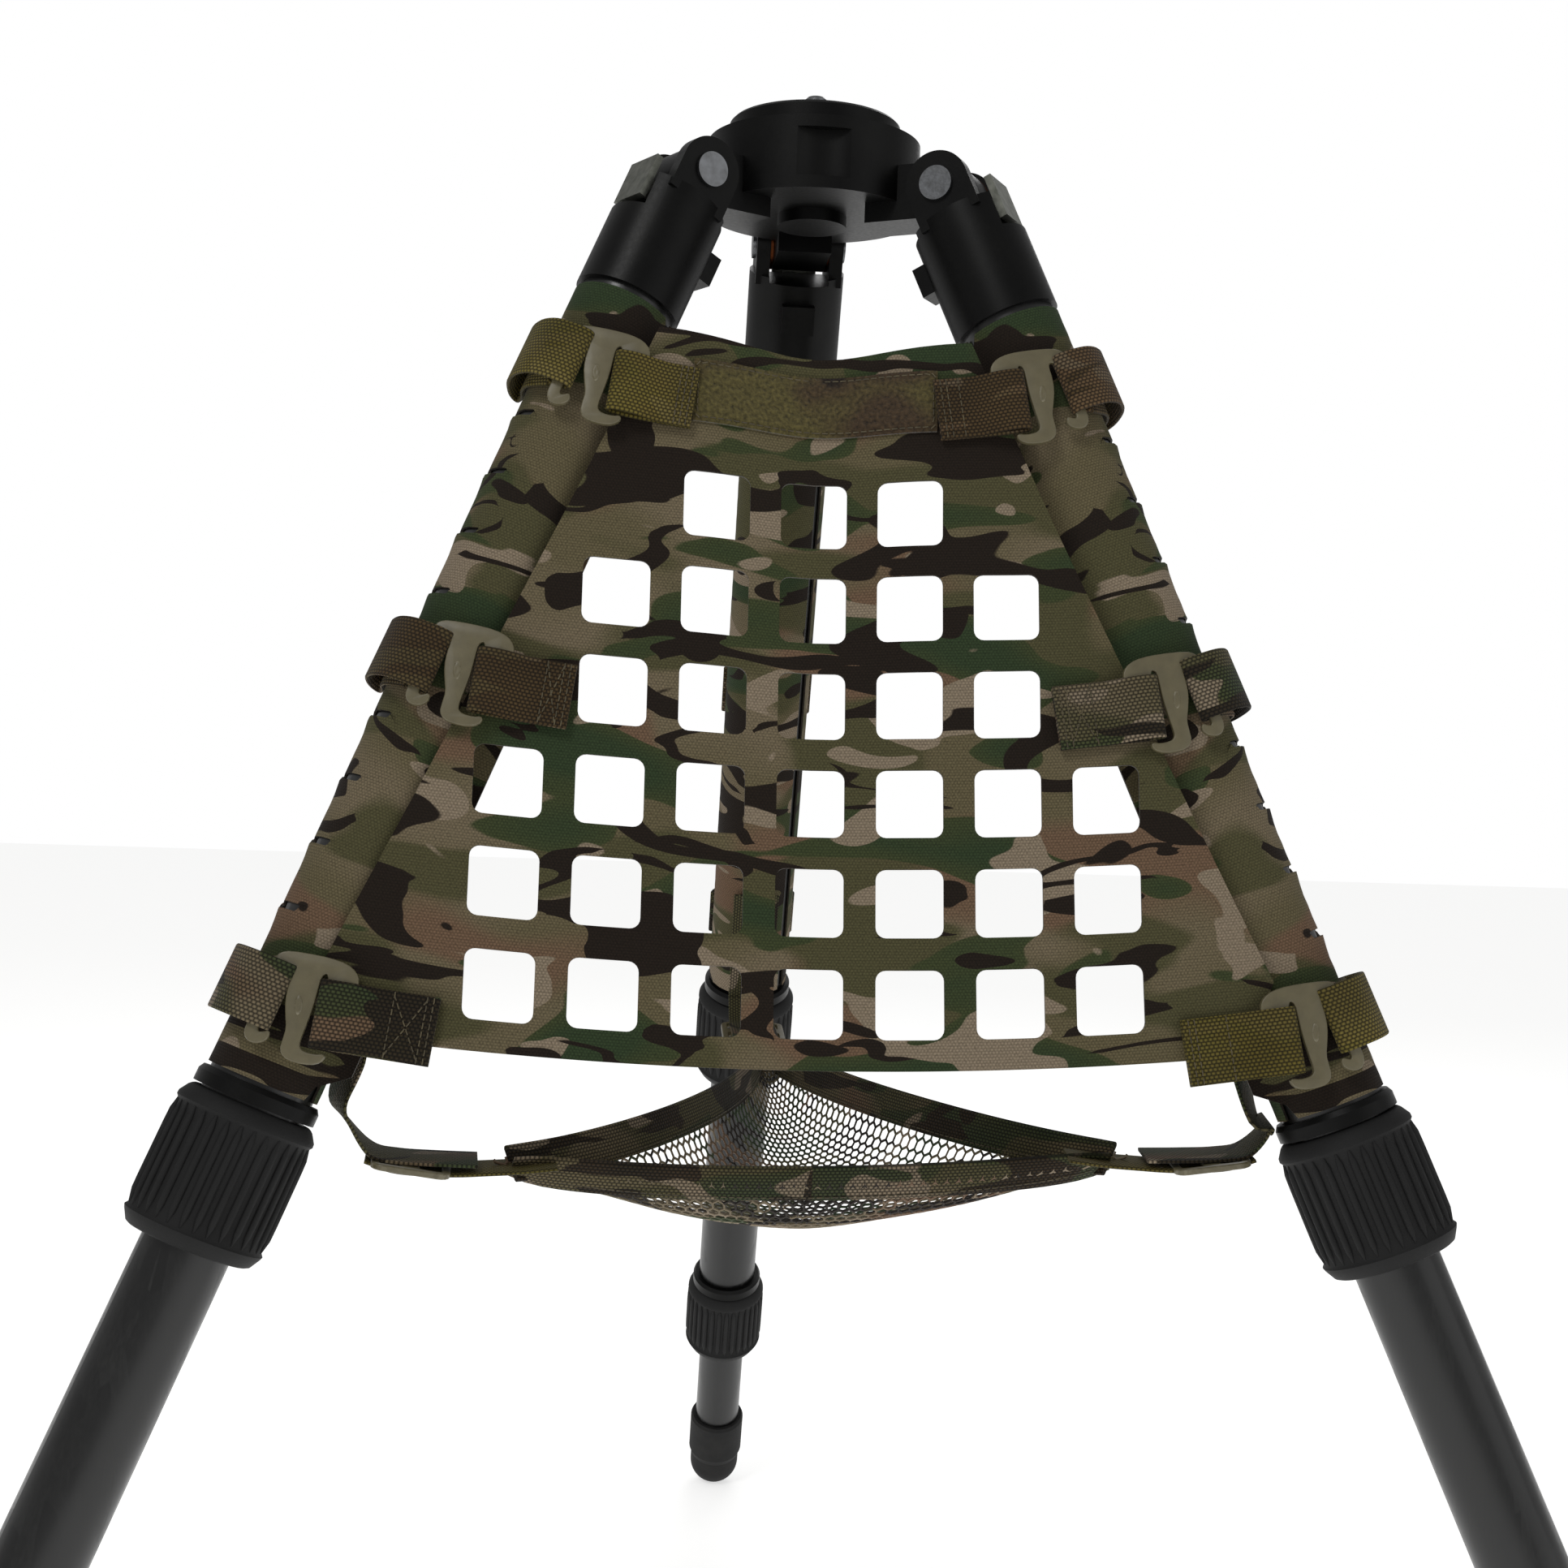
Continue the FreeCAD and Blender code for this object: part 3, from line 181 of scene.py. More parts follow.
def relief(tree, shader, height, distance, strength=1.0):
    """Bump in metres of real depth."""
    bump = add(
        tree,
        "ShaderNodeBump",
        {"Height": height, "Distance": distance, "Strength": strength},
    )
    tree.links.new(bump.outputs[0], shader.inputs["Normal"])


def flat_coordinates(tree):
    """The piece's own flat pattern, in metres."""
    return add(tree, "ShaderNodeUVMap", uv_map="flat").outputs[0]


def object_coordinates(tree):
    return add(tree, "ShaderNodeTexCoord").outputs["Object"]


def spots(tree, where, long, high, offset, low, width, detail=1.0, twist=0.25):
    """A mask of lying spots, long by high in metres, with an edge this wide."""
    moved = add(
        tree,
        "ShaderNodeMapping",
        {"Vector": where, "Location": offset, "Scale": (1 / long, 1 / high, 1 / long)},
    )
    field = add(
        tree,
        "ShaderNodeTexNoise",
        {
            "Vector": moved.outputs[0],
            "Scale": 1.0,
            "Detail": detail,
            "Roughness": 0.45,
            "Distortion": twist,
        },
    )
    mask = add(
        tree,
        "ShaderNodeMapRange",
        {0: field.outputs[0], 1: low, 2: low + width},
        interpolation_type="SMOOTHSTEP",
    )
    return mask.outputs[0], field.outputs[0]


def woodland(tree, where, seed=0.0):
    """The printed pattern: soft ground, green patches, pale spots and dark branches."""
    look = bpy.context.scene.tripod_cloth
    ground, _ = spots(tree, where, 0.12, 0.060, (3.1 + seed, 1.7, 0), 0.40, 0.20)
    rosy, _ = spots(tree, where, 0.080, 0.048, (8.2 + seed, 4.4, 0), 0.52, 0.10)
    olive, _ = spots(tree, where, 0.090, 0.040, (5.4 + seed, 9.3, 0), 0.50, 0.05, 1.5)
    green, depth = spots(tree, where, 0.078, 0.034, (2.6 + seed, 6.1, 0), 0.545, 0.008, 1.5, 0.5)
    pale, _ = spots(tree, where, 0.046, 0.021, (1.9 + seed, 3.3, 0), 0.615, 0.008, 1.0, 0.6)
    dark, _ = spots(tree, where, 0.070, 0.026, (7.7 + seed, 2.2, 0), 0.610, 0.006, 1.5, 0.9)
    _, edge = spots(tree, where, 0.092, 0.034, (4.9 + seed, 5.8, 0), 0.5, 0.006, 1.5, 0.8)
    gate, _ = spots(tree, where, 0.070, 0.045, (6.3 + seed, 0.9, 0), 0.50, 0.05)
    ridge = maths(tree, "ABSOLUTE", maths(tree, "SUBTRACT", edge, 0.5))
    limit = maths(tree, "MULTIPLY", gate, 0.030)
    twig = maths(tree, "LESS_THAN", ridge, limit)
    colour = mixed(tree, ground, look.sand[:] + (1,), look.khaki[:] + (1,))
    colour = mixed(tree, rosy, colour, look.rosy_brown[:] + (1,))
    colour = mixed(tree, olive, colour, look.olive[:] + (1,))
    fade = add(tree, "ShaderNodeMapRange", {0: depth, 1: 0.54, 2: 0.66}).outputs[0]
    leaf = mixed(tree, fade, look.moss[:] + (1,), look.leaf[:] + (1,))
    colour = mixed(tree, green, colour, leaf)
    colour = mixed(tree, pale, colour, look.pale[:] + (1,))
    branch = maths(tree, "MAXIMUM", dark, twig)
    return mixed(tree, branch, colour, look.bark[:] + (1,))


def weave_cells(tree, where, along, across):
    """Height of a plain weave: one bump a thread crossing, each row half a step on."""
    parts = add(tree, "ShaderNodeSeparateXYZ", {0: where})
    row = maths(tree, "MULTIPLY", parts.outputs[1], 1 / across)
    step = maths(tree, "MODULO", maths(tree, "FLOOR", row), 2.0)
    column = maths(tree, "MULTIPLY_ADD", parts.outputs[0], 1 / along, maths(tree, "MULTIPLY", step, 0.5))
    wave = maths(tree, "SINE", maths(tree, "MULTIPLY", maths(tree, "FRACT", column), math.pi))
    other = maths(tree, "SINE", maths(tree, "MULTIPLY", maths(tree, "FRACT", row), math.pi))
    return maths(tree, "MULTIPLY", wave, other)


def grain(tree, where, size, detail=2.0):
    return add(
        tree,
        "ShaderNodeTexNoise",
        {"Vector": where, "Scale": 1 / size, "Detail": detail, "Roughness": 0.6},
    ).outputs[0]


def laminate_cloth():
    """Printed nylon bonded to a backing: matt, with a fine woven grain.

    The real threads are about 0.3 mm apart; they are drawn 1.1 to 1.3 mm apart to show.
    """
    made, tree, shader = new_material("printed_nylon_laminate")
    where = flat_coordinates(tree)
    cells = weave_cells(tree, where, 0.0013, 0.0011)
    speck = grain(tree, where, 0.0009)
    print_ = woodland(tree, where)
    shade = maths(tree, "MULTIPLY_ADD", speck, 1.1, 0.18)
    shade = maths(tree, "MULTIPLY_ADD", cells, 0.55, shade)
    colour = shaded(tree, print_, shade)
    tree.links.new(colour, shader.inputs["Base Color"])
    shader.inputs["Roughness"].default_value = 0.86
    shader.inputs["Specular IOR Level"].default_value = 0.16
    shader.inputs["Sheen Weight"].default_value = 0.02
    shader.inputs["Sheen Roughness"].default_value = 0.5
    relief(tree, shader, maths(tree, "MULTIPLY_ADD", speck, 0.6, cells), 0.00012, 0.8)
    return made


def sealed_edge():
    """Where the laminate was cut by laser, the melted rim is dark and slightly glossy."""
    made, tree, shader = new_material("laser_sealed_edge")
    where = object_coordinates(tree)
    tinted(tree, shader, grain(tree, where, 0.004), (0.3, "#17130d"), (0.7, "#33291c"))
    shader.inputs["Roughness"].default_value = 0.6
    relief(tree, shader, grain(tree, where, 0.0012), 0.0002)
    return made


def webbing(name, seed, tint_low, tint_high, print_share):
    """Woven nylon webbing: rounded thread crossings, drawn 1.4 by 1.8 mm, coarser than real."""
    made, tree, shader = new_material(name)
    where = flat_coordinates(tree)
    cells = weave_cells(tree, where, 0.0018, 0.0014)
    print_ = woodland(tree, where, seed)
    drift = add(
        tree,
        "ShaderNodeValToRGB",
        {0: grain(tree, where, 0.03, 1.0)},
        ramp=[(0.35, linear(tint_low)), (0.65, linear(tint_high))],
    )
    base = mixed(tree, print_share, drift.outputs[0], print_)
    light = maths(tree, "MULTIPLY_ADD", cells, 1.35, 0.16)
    speck = grain(tree, where, 0.0007)
    light = maths(tree, "MULTIPLY", light, maths(tree, "MULTIPLY_ADD", speck, 0.8, 0.6))
    colour = shaded(tree, base, light)
    tree.links.new(colour, shader.inputs["Base Color"])
    shader.inputs["Roughness"].default_value = 0.72
    shader.inputs["Specular IOR Level"].default_value = 0.15
    shader.inputs["Sheen Weight"].default_value = 0.04
    relief(tree, shader, cells, 0.00035, 0.9)
    return made


def loop_tape():
    """Brushed nylon loop tape: short fuzzy pile that scatters light at its edges."""
    made, tree, shader = new_material("brushed_loop_tape")
    where = flat_coordinates(tree)
    fine = grain(tree, where, 0.0016, 3.0)
    broad, _ = spots(tree, where, 0.05, 0.03, (2.0, 5.0, 0), 0.42, 0.16)
    colour = mixed(tree, broad, linear("#4b4425"), linear("#3a2d1e"))
    dark, _ = spots(tree, where, 0.028, 0.05, (9.2, 3.7, 0), 0.60, 0.04)
    colour = mixed(tree, dark, colour, linear("#1d150f"))
    light = maths(tree, "MULTIPLY_ADD", fine, 3.2, -0.55)
    tree.links.new(shaded(tree, colour, light), shader.inputs["Base Color"])
    shader.inputs["Roughness"].default_value = 0.95
    shader.inputs["Specular IOR Level"].default_value = 0.15
    shader.inputs["Sheen Weight"].default_value = 0.3
    relief(tree, shader, fine, 0.0008)
    return made


def net_cord():
    """Knitted polyester net: thin matt cord printed with the same colours."""
    made, tree, shader = new_material("knitted_net_cord")
    where = object_coordinates(tree)
    print_ = woodland(tree, where, 2.3)
    light = maths(tree, "MULTIPLY_ADD", grain(tree, where, 0.0012), 0.9, 0.75)
    tree.links.new(shaded(tree, print_, light), shader.inputs["Base Color"])
    shader.inputs["Roughness"].default_value = 0.75
    relief(tree, shader, grain(tree, where, 0.0006), 0.0002)
    return made


def thread():
    """Bonded polyester sewing thread, slightly glossy."""
    made, tree, shader = new_material("bonded_sewing_thread")
    where = object_coordinates(tree)
    tinted(tree, shader, grain(tree, where, 0.006), (0.35, "#3b3422"), (0.7, "#5b5138"))
    shader.inputs["Roughness"].default_value = 0.55
    relief(tree, shader, grain(tree, where, 0.0004), 0.0001)
    return made


def hook_paint():
    """Stamped steel in tan powder coat: satin, faintly mottled, with a painted highlight on its convex
    edges.
    """
    made, tree, shader = new_material("tan_powder_coat")
    where = object_coordinates(tree)
    paint = bpy.context.scene.tripod_metal.hook_paint[:] + (1,)
    mottled = maths(tree, "MULTIPLY_ADD", grain(tree, where, 0.005, 3.0), 0.5, 0.75)
    colour = shaded(tree, paint, mottled)
    edge = add(tree, "ShaderNodeNewGeometry").outputs["Pointiness"]
    # painted highlight: convex edges, found by pointiness and broken up by noise, are lightened towards a
    # pale tan
    edge_highlight = add(tree, "ShaderNodeMapRange", {0: edge, 1: 0.53, 2: 0.60}).outputs[0]
    edge_highlight = maths(tree, "MULTIPLY", edge_highlight, maths(tree, "GREATER_THAN", grain(tree, where, 0.002), 0.5))
    colour = mixed(tree, maths(tree, "MULTIPLY", edge_highlight, 0.6), colour, linear("#8f8872"))
    tree.links.new(colour, shader.inputs["Base Color"])
    rough = maths(tree, "MULTIPLY_ADD", grain(tree, where, 0.003), 0.25, 0.30)
    tree.links.new(rough, shader.inputs["Roughness"])
    shader.inputs["Coat Weight"].default_value = 0.15
    shader.inputs["Coat Roughness"].default_value = 0.35
    relief(tree, shader, grain(tree, where, 0.0006), 0.00004)
    return made


def anodised():
    """Machined aluminium, bead-blasted and anodised black: a satin, broad highlight."""
    made, tree, shader = new_material("black_anodised_aluminium")
    where = object_coordinates(tree)
    tinted(tree, shader, grain(tree, where, 0.02, 3.0), (0.3, "#0c0c0c"), (0.75, "#141413"))
    shader.inputs["Metallic"].default_value = 0.75
    rough = maths(tree, "MULTIPLY_ADD", grain(tree, where, 0.0015), 0.16, 0.32)
    tree.links.new(rough, shader.inputs["Roughness"])
    relief(tree, shader, grain(tree, where, 0.0005), 0.00003)
    return made


def forged_carbon():
    """Carbon tube in clear resin: dark, glossy, with long streaks of fibre."""
    made, tree, shader = new_material("streaked_carbon_tube")
    where = object_coordinates(tree)
    stretched = add(tree, "ShaderNodeMapping", {"Vector": where, "Scale": (180, 180, 28)})
    flakes = add(
        tree,
        "ShaderNodeTexVoronoi",
        {"Vector": stretched.outputs[0], "Scale": 1.0, "Randomness": 1.0},
    )
    fibre = add(
        tree,
        "ShaderNodeTexNoise",
        {"Vector": stretched.outputs[0], "Scale": 5.0, "Detail": 2.0},
    )
    tone = maths(tree, "MULTIPLY", flakes.outputs["Color"], fibre.outputs[0])
    tinted(tree, shader, tone, (0.15, "#070707"), (0.55, "#131312"))
    tree.links.new(maths(tree, "MULTIPLY_ADD", tone, 0.3, 0.28), shader.inputs["Roughness"])
    shader.inputs["Coat Weight"].default_value = 0.12
    shader.inputs["Coat Roughness"].default_value = 0.12
    return made


def moulded_rubber(name, low, high, rough):
    """Compression-moulded rubber: nearly black, dull, dusty on its high spots."""
    made, tree, shader = new_material(name)
    where = object_coordinates(tree)
    tinted(tree, shader, grain(tree, where, 0.012, 3.0), (0.35, low), (0.7, high))
    shader.inputs["Roughness"].default_value = rough
    shader.inputs["Specular IOR Level"].default_value = 0.4
    relief(tree, shader, grain(tree, where, 0.0009), 0.00008)
    return made


def bare_metal(name, low, high, rough, blasted):
    """Bare metal with the marks of its making: fine turning lines or a blasted grain."""
    made, tree, shader = new_material(name)
    where = object_coordinates(tree)
    tinted(tree, shader, grain(tree, where, 0.004, 2.0), (0.3, low), (0.7, high))
    shader.inputs["Metallic"].default_value = 1.0
    spread = maths(tree, "MULTIPLY_ADD", grain(tree, where, 0.001), 0.2, rough)
    tree.links.new(spread, shader.inputs["Roughness"])
    relief(tree, shader, grain(tree, where, blasted), 0.00003)
    return made


# ------------------------------------------------------------ mesh helpers


def link(name, mesh):
    made = bpy.data.objects.new(name, mesh)
    bpy.context.scene.collection.objects.link(made)
    return made


def mesh_piece(name, points, faces, materials, flat=None, picks=None, sharp=40.0):
    """Makes an object of points in metres; flat gives each point its flat place."""
    mesh = bpy.data.meshes.new(name)
    mesh.from_pydata([tuple(p) for p in points], [], faces)
    for finish in materials:
        mesh.materials.append(finish)
    if picks:
        mesh.polygons.foreach_set("material_index", picks)
    if flat:
        layer = mesh.uv_layers.new(name="flat")
        for loop in mesh.loops:
            layer.data[loop.index].uv = flat[loop.vertex_index]
    mesh.shade_smooth()
    mesh.set_sharp_from_angle(angle=math.radians(sharp))
    mesh.update()
    return link(name, mesh)


def applied(piece):
    """Turns the evaluated object into its own plain mesh and drops its modifiers."""
    bpy.context.view_layer.update()
    graph = bpy.context.evaluated_depsgraph_get()
    made = bpy.data.meshes.new_from_object(piece.evaluated_get(graph))
    made.name = piece.name
    old = piece.data
    piece.modifiers.clear()
    piece.data = made
    bpy.data.meshes.remove(old)
    return piece


def joined(name, pieces):
    """Merges pieces of one body into one object, keeping their flat patterns."""
    host = pieces[0]
    with bpy.context.temp_override(
        active_object=host, object=host, selected_editable_objects=pieces, selected_objects=pieces
    ):
        if len(pieces) > 1:
            bpy.ops.object.join()
    host.name = name
    host.data.name = name
    return host


def smooth_path(points, steps):
    """A Catmull-Rom path through the points, with steps between each two."""
    points = [Vector(p) for p in points]
    made = []
    last = len(points) - 1
    for i in range(last):
        a = points[i - 1] if i else points[0] * 2 - points[1]
        b, c = points[i], points[i + 1]
        d = points[i + 2] if i + 2 <= last else points[last] * 2 - points[last - 1]
        for k in range(steps):
            t = k / steps
            made.append(
                0.5
                * (
                    2 * b
                    + (c - a) * t
                    + (2 * a - 5 * b + 4 * c - d) * t * t
                    + (3 * b - a - 3 * c + d) * t * t * t
                )
            )
    made.append(points[last])
    return made


def strap(name, path, across, width, thick, finish, start=0.0, side=0.0):
    """A webbing ribbon along a path in metres, with rounded selvedges and capped ends."""
    w, t = width * MM / 2, thick * MM / 2
    edge = [(-w, -t * 0.5), (-w + 0.8 * t, -t), (w - 0.8 * t, -t), (w, -t * 0.5)]
    ring = edge + [(-a, -n) for a, n in edge]
    points, flat, faces = [], [], []
    run = start * MM
    count = len(path)
    for i, spot in enumerate(path):
        if i:
            run += (spot - path[i - 1]).length
        tangent = (path[min(i + 1, count - 1)] - path[max(i - 1, 0)]).normalized()
        aside = across[i] if isinstance(across, list) else across
        aside = (aside - tangent * aside.dot(tangent)).normalized()
        normal = tangent.cross(aside)
        for a, n in ring:
            points.append(spot + aside * a + normal * n)
            flat.append((run, a + side * MM))
    size = len(ring)
    for i in range(count - 1):
        for k in range(size):
            a, b = i * size + k, i * size + (k + 1) % size
            faces.append((a, b, b + size, a + size))
    faces.append(tuple(range(size - 1, -1, -1)))
    faces.append(tuple(range((count - 1) * size, count * size)))
    return mesh_piece(name, points, faces, [finish], flat, sharp=50)


def inside(spot, outline):
    """Whether a flat point lies within a closed outline."""
    x, y = spot
    hit = False
    for (ax, ay), (bx, by) in zip(outline, outline[1:] + outline[:1]):
        if (ay > y) != (by > y) and x < (bx - ax) * (y - ay) / (by - ay) + ax:
            hit = not hit
    return hit


def divided(outline, step):
    """The outline with its long sides split to about this step."""
    made = []
    for a, b in zip(outline, outline[1:] + outline[:1]):
        parts = max(1, round(math.dist(a, b) / step))
        for k in range(parts):
            made.append((a[0] + (b[0] - a[0]) * k / parts, a[1] + (b[1] - a[1]) * k / parts))
    return made


def rounded_hole(x, y, width, height, radius, arc=5):
    """A rectangle with rounded corners round (x, y)."""
    made = []
    for quarter in range(4):
        cx = x + (width / 2 - radius) * (1 if quarter in (0, 3) else -1)
        cy = y + (height / 2 - radius) * (1 if quarter in (0, 1) else -1)
        for k in range(arc + 1):
            a = math.pi / 2 * (quarter + k / arc)
            made.append((cx + radius * math.cos(a), cy + radius * math.sin(a)))
    return made


def cut_sheet(name, outline, holes, place, thick, step, materials):
    """A thin cloth cut to an outline with holes, then laid by place(x, y) -> metres.

    Returns the piece and its flat area in square metres.
    """
    rims = [divided(outline, step)] + [divided(hole, step) for hole in holes]
    spots_, edges = [], []
    for rim in rims:
        first = len(spots_)
        spots_ += rim
        edges += [(first + k, first + (k + 1) % len(rim)) for k in range(len(rim))]
    xs = [p[0] for p in outline]
    ys = [p[1] for p in outline]
    rows = int((max(ys) - min(ys)) / (step * 0.87)) + 1
    columns = int((max(xs) - min(xs)) / step) + 2
    for j in range(rows):
        for i in range(columns):
            spot = (min(xs) + (i + 0.5 * (j % 2)) * step, min(ys) + (j + 0.5) * step * 0.87)
            if not inside(spot, outline) or any(inside(spot, hole) for hole in holes):
                continue
            if min(math.dist(spot, p) for rim in rims for p in rim) > step * 0.55:
                spots_.append(spot)
    made = geometry.delaunay_2d_cdt([Vector(p) for p in spots_], edges, [], 0, 1e-5)
    flats = [tuple(p) for p in made[0]]
    kept = []
    for face in made[2]:
        middle = tuple(sum(flats[i][k] for i in face) / 3 for k in (0, 1))
        if inside(middle, outline) and not any(inside(middle, hole) for hole in holes):
            kept.append(face)
    used = sorted({i for face in kept for i in face})
    order = {old: new for new, old in enumerate(used)}
    flats = [flats[i] for i in used]
    kept = [tuple(order[i] for i in face) for face in kept]
    area = 0.0
    points, backs = [], []
    for x, y in flats:
        spot = place(x, y)
        ex = place(x + 0.5, y) - place(x - 0.5, y)
        ey = place(x, y + 0.5) - place(x, y - 0.5)
        normal = ex.cross(ey).normalized() * thick * MM / 2
        points.append(spot + normal)
        backs.append(spot - normal)
    faces, picks, seen = [], [], {}
    count = len(points)
    for a, b, c in kept:
        ax, ay = flats[a]
        turn = (flats[b][0] - ax) * (flats[c][1] - ay) - (flats[c][0] - ax) * (flats[b][1] - ay)
        area += abs(turn) / 2
        if turn < 0:
            b, c = c, b
        faces.append((a, b, c))
        faces.append((a + count, c + count, b + count))
        picks += [0, 0]
        for pair in ((a, b), (b, c), (c, a)):
            seen[pair] = True
    for a, b in list(seen):
        if (b, a) not in seen:
            faces.append((b, a, a + count, b + count))
            picks.append(1)
    flat = [(x * MM, y * MM) for x, y in flats]
    piece = mesh_piece(name, points + backs, faces, materials, flat + flat, picks, 50)
    return piece, area * MM * MM


def revolved(name, where, outline, count, finish, sharp=35.0):
    """A closed solid turned round Z from (radius, height) points in millimetres."""
    points, faces = [], []
    size = len(outline)
    for k in range(count):
        a = 2 * math.pi * k / count
        for r, z in outline:
            points.append(where @ Vector((r * math.cos(a), r * math.sin(a), z)))
    for k in range(count):
        here, there = k * size, (k + 1) % count * size
        for i in range(size):
            j = (i + 1) % size
            faces.append((here + i, there + i, there + j, here + j))
    return mesh_piece(name, points, faces, [finish], sharp=sharp)


def flat_plate(name, outline, where, thick, bevel, finish):
    """A stamped plate with softened edges, lying in its frame's X and Y plane."""
    mesh = bpy.data.meshes.new(name)
    shape = bmesh.new()
    low = [shape.verts.new((x * MM, y * MM, 0)) for x, y in outline]
    face = shape.faces.new(low)
    if face.normal.z > 0 or face.calc_area() and _turn(outline) > 0:
        face.normal_flip()
    grown = bmesh.ops.extrude_face_region(shape, geom=[face])
    raised = [g for g in grown["geom"] if isinstance(g, bmesh.types.BMVert)]
    bmesh.ops.translate(shape, vec=(0, 0, thick * MM), verts=raised)
    bmesh.ops.recalc_face_normals(shape, faces=shape.faces)
    rims = [e for e in shape.edges if abs(e.verts[0].co.z - e.verts[1].co.z) < 1e-9]
    bmesh.ops.bevel(
        shape, geom=rims, offset=bevel * MM, segments=3, profile=0.5, affect="EDGES", clamp_overlap=True
    )
    bmesh.ops.recalc_face_normals(shape, faces=shape.faces)
    scaled = where @ Matrix.Scale(1 / MM, 4)
    for vert in shape.verts:
        vert.co = scaled @ vert.co
    shape.to_mesh(mesh)
    shape.free()
    mesh.materials.append(finish)
    mesh.shade_smooth()
    mesh.set_sharp_from_angle(angle=math.radians(42))
    return link(name, mesh)


def _turn(outline):
    return sum(a[0] * b[1] - b[0] * a[1] for a, b in zip(outline, outline[1:] + outline[:1]))


# ------------------------------------------------------------ geometry nodes


def new_tree(name, sizes):
    """A geometry tree with a geometry in and out, and a named input for each size."""
    tree = bpy.data.node_groups.new(name, "GeometryNodeTree")
    tree.interface.new_socket("Geometry", in_out="INPUT", socket_type="NodeSocketGeometry")
    for label, kind in sizes:
        tree.interface.new_socket(label, in_out="INPUT", socket_type=kind)
    tree.interface.new_socket("Geometry", in_out="OUTPUT", socket_type="NodeSocketGeometry")
    way_in = add(tree, "NodeGroupInput")
    return tree, way_in


def close_tree(tree, shape, finish):
    real = add(tree, "GeometryNodeRealizeInstances", {0: shape})
    painted = add(tree, "GeometryNodeSetMaterial", {"Geometry": real.outputs[0], "Material": finish})
    add(tree, "NodeGroupOutput", {0: painted.outputs[0]})


def stitch_tree():
    """Rounded stitches laid end to end along every edge chain of the mesh."""
    sizes = [
        ("Stitch Length", "NodeSocketFloat"),
        ("Gap", "NodeSocketFloat"),
        ("Thread Radius", "NodeSocketFloat"),
        ("Thread", "NodeSocketMaterial"),
    ]
    tree, way_in = new_tree("stitch_row", sizes)
    length, gap, radius = way_in.outputs[1], way_in.outputs[2], way_in.outputs[3]
    pitch = maths(tree, "ADD", length, gap)
    chain = add(tree, "GeometryNodeMeshToCurve", {0: way_in.outputs[0]})
    spaced = add(
        tree, "GeometryNodeCurveToPoints", {"Curve": chain.outputs[0], "Length": pitch}, mode="LENGTH"
    )
    half = maths(tree, "MULTIPLY", length, 0.5)
    start = add(tree, "ShaderNodeCombineXYZ", {2: maths(tree, "MULTIPLY", half, -1.0)})
    end = add(tree, "ShaderNodeCombineXYZ", {2: half})
    rise = add(tree, "ShaderNodeCombineXYZ", {0: maths(tree, "MULTIPLY", radius, 0.9)})
    bow = add(
        tree,
        "GeometryNodeCurveQuadraticBezier",
        {"Resolution": 4, "Start": start.outputs[0], "Middle": rise.outputs[0], "End": end.outputs[0]},
    )
    ring = add(tree, "GeometryNodeCurvePrimitiveCircle", {"Resolution": 5, "Radius": radius})
    body = add(
        tree,
        "GeometryNodeCurveToMesh",
        {"Curve": bow.outputs[0], "Profile Curve": ring.outputs[0], "Fill Caps": True},
    )
    laid = add(
        tree,
        "GeometryNodeInstanceOnPoints",
        {
            "Points": spaced.outputs["Points"],
            "Instance": body.outputs[0],
            "Rotation": spaced.outputs["Rotation"],
        },
    )
    close_tree(tree, laid.outputs[0], way_in.outputs[4])
    return tree


def net_tree():
    """Turns every edge into a thin cord."""
    sizes = [
        ("Cord Radius", "NodeSocketFloat"),
        ("Cord Sides", "NodeSocketInt"),
        ("Cord", "NodeSocketMaterial"),
    ]
    tree, way_in = new_tree("net_cords", sizes)
    chain = add(tree, "GeometryNodeMeshToCurve", {0: way_in.outputs[0]})
    ring = add(
        tree,
        "GeometryNodeCurvePrimitiveCircle",
        {"Resolution": way_in.outputs[2], "Radius": way_in.outputs[1]},
    )
    cord = add(
        tree,
        "GeometryNodeCurveToMesh",
        {"Curve": chain.outputs[0], "Profile Curve": ring.outputs[0], "Fill Caps": True},
    )
    close_tree(tree, cord.outputs[0], way_in.outputs[3])
    return tree


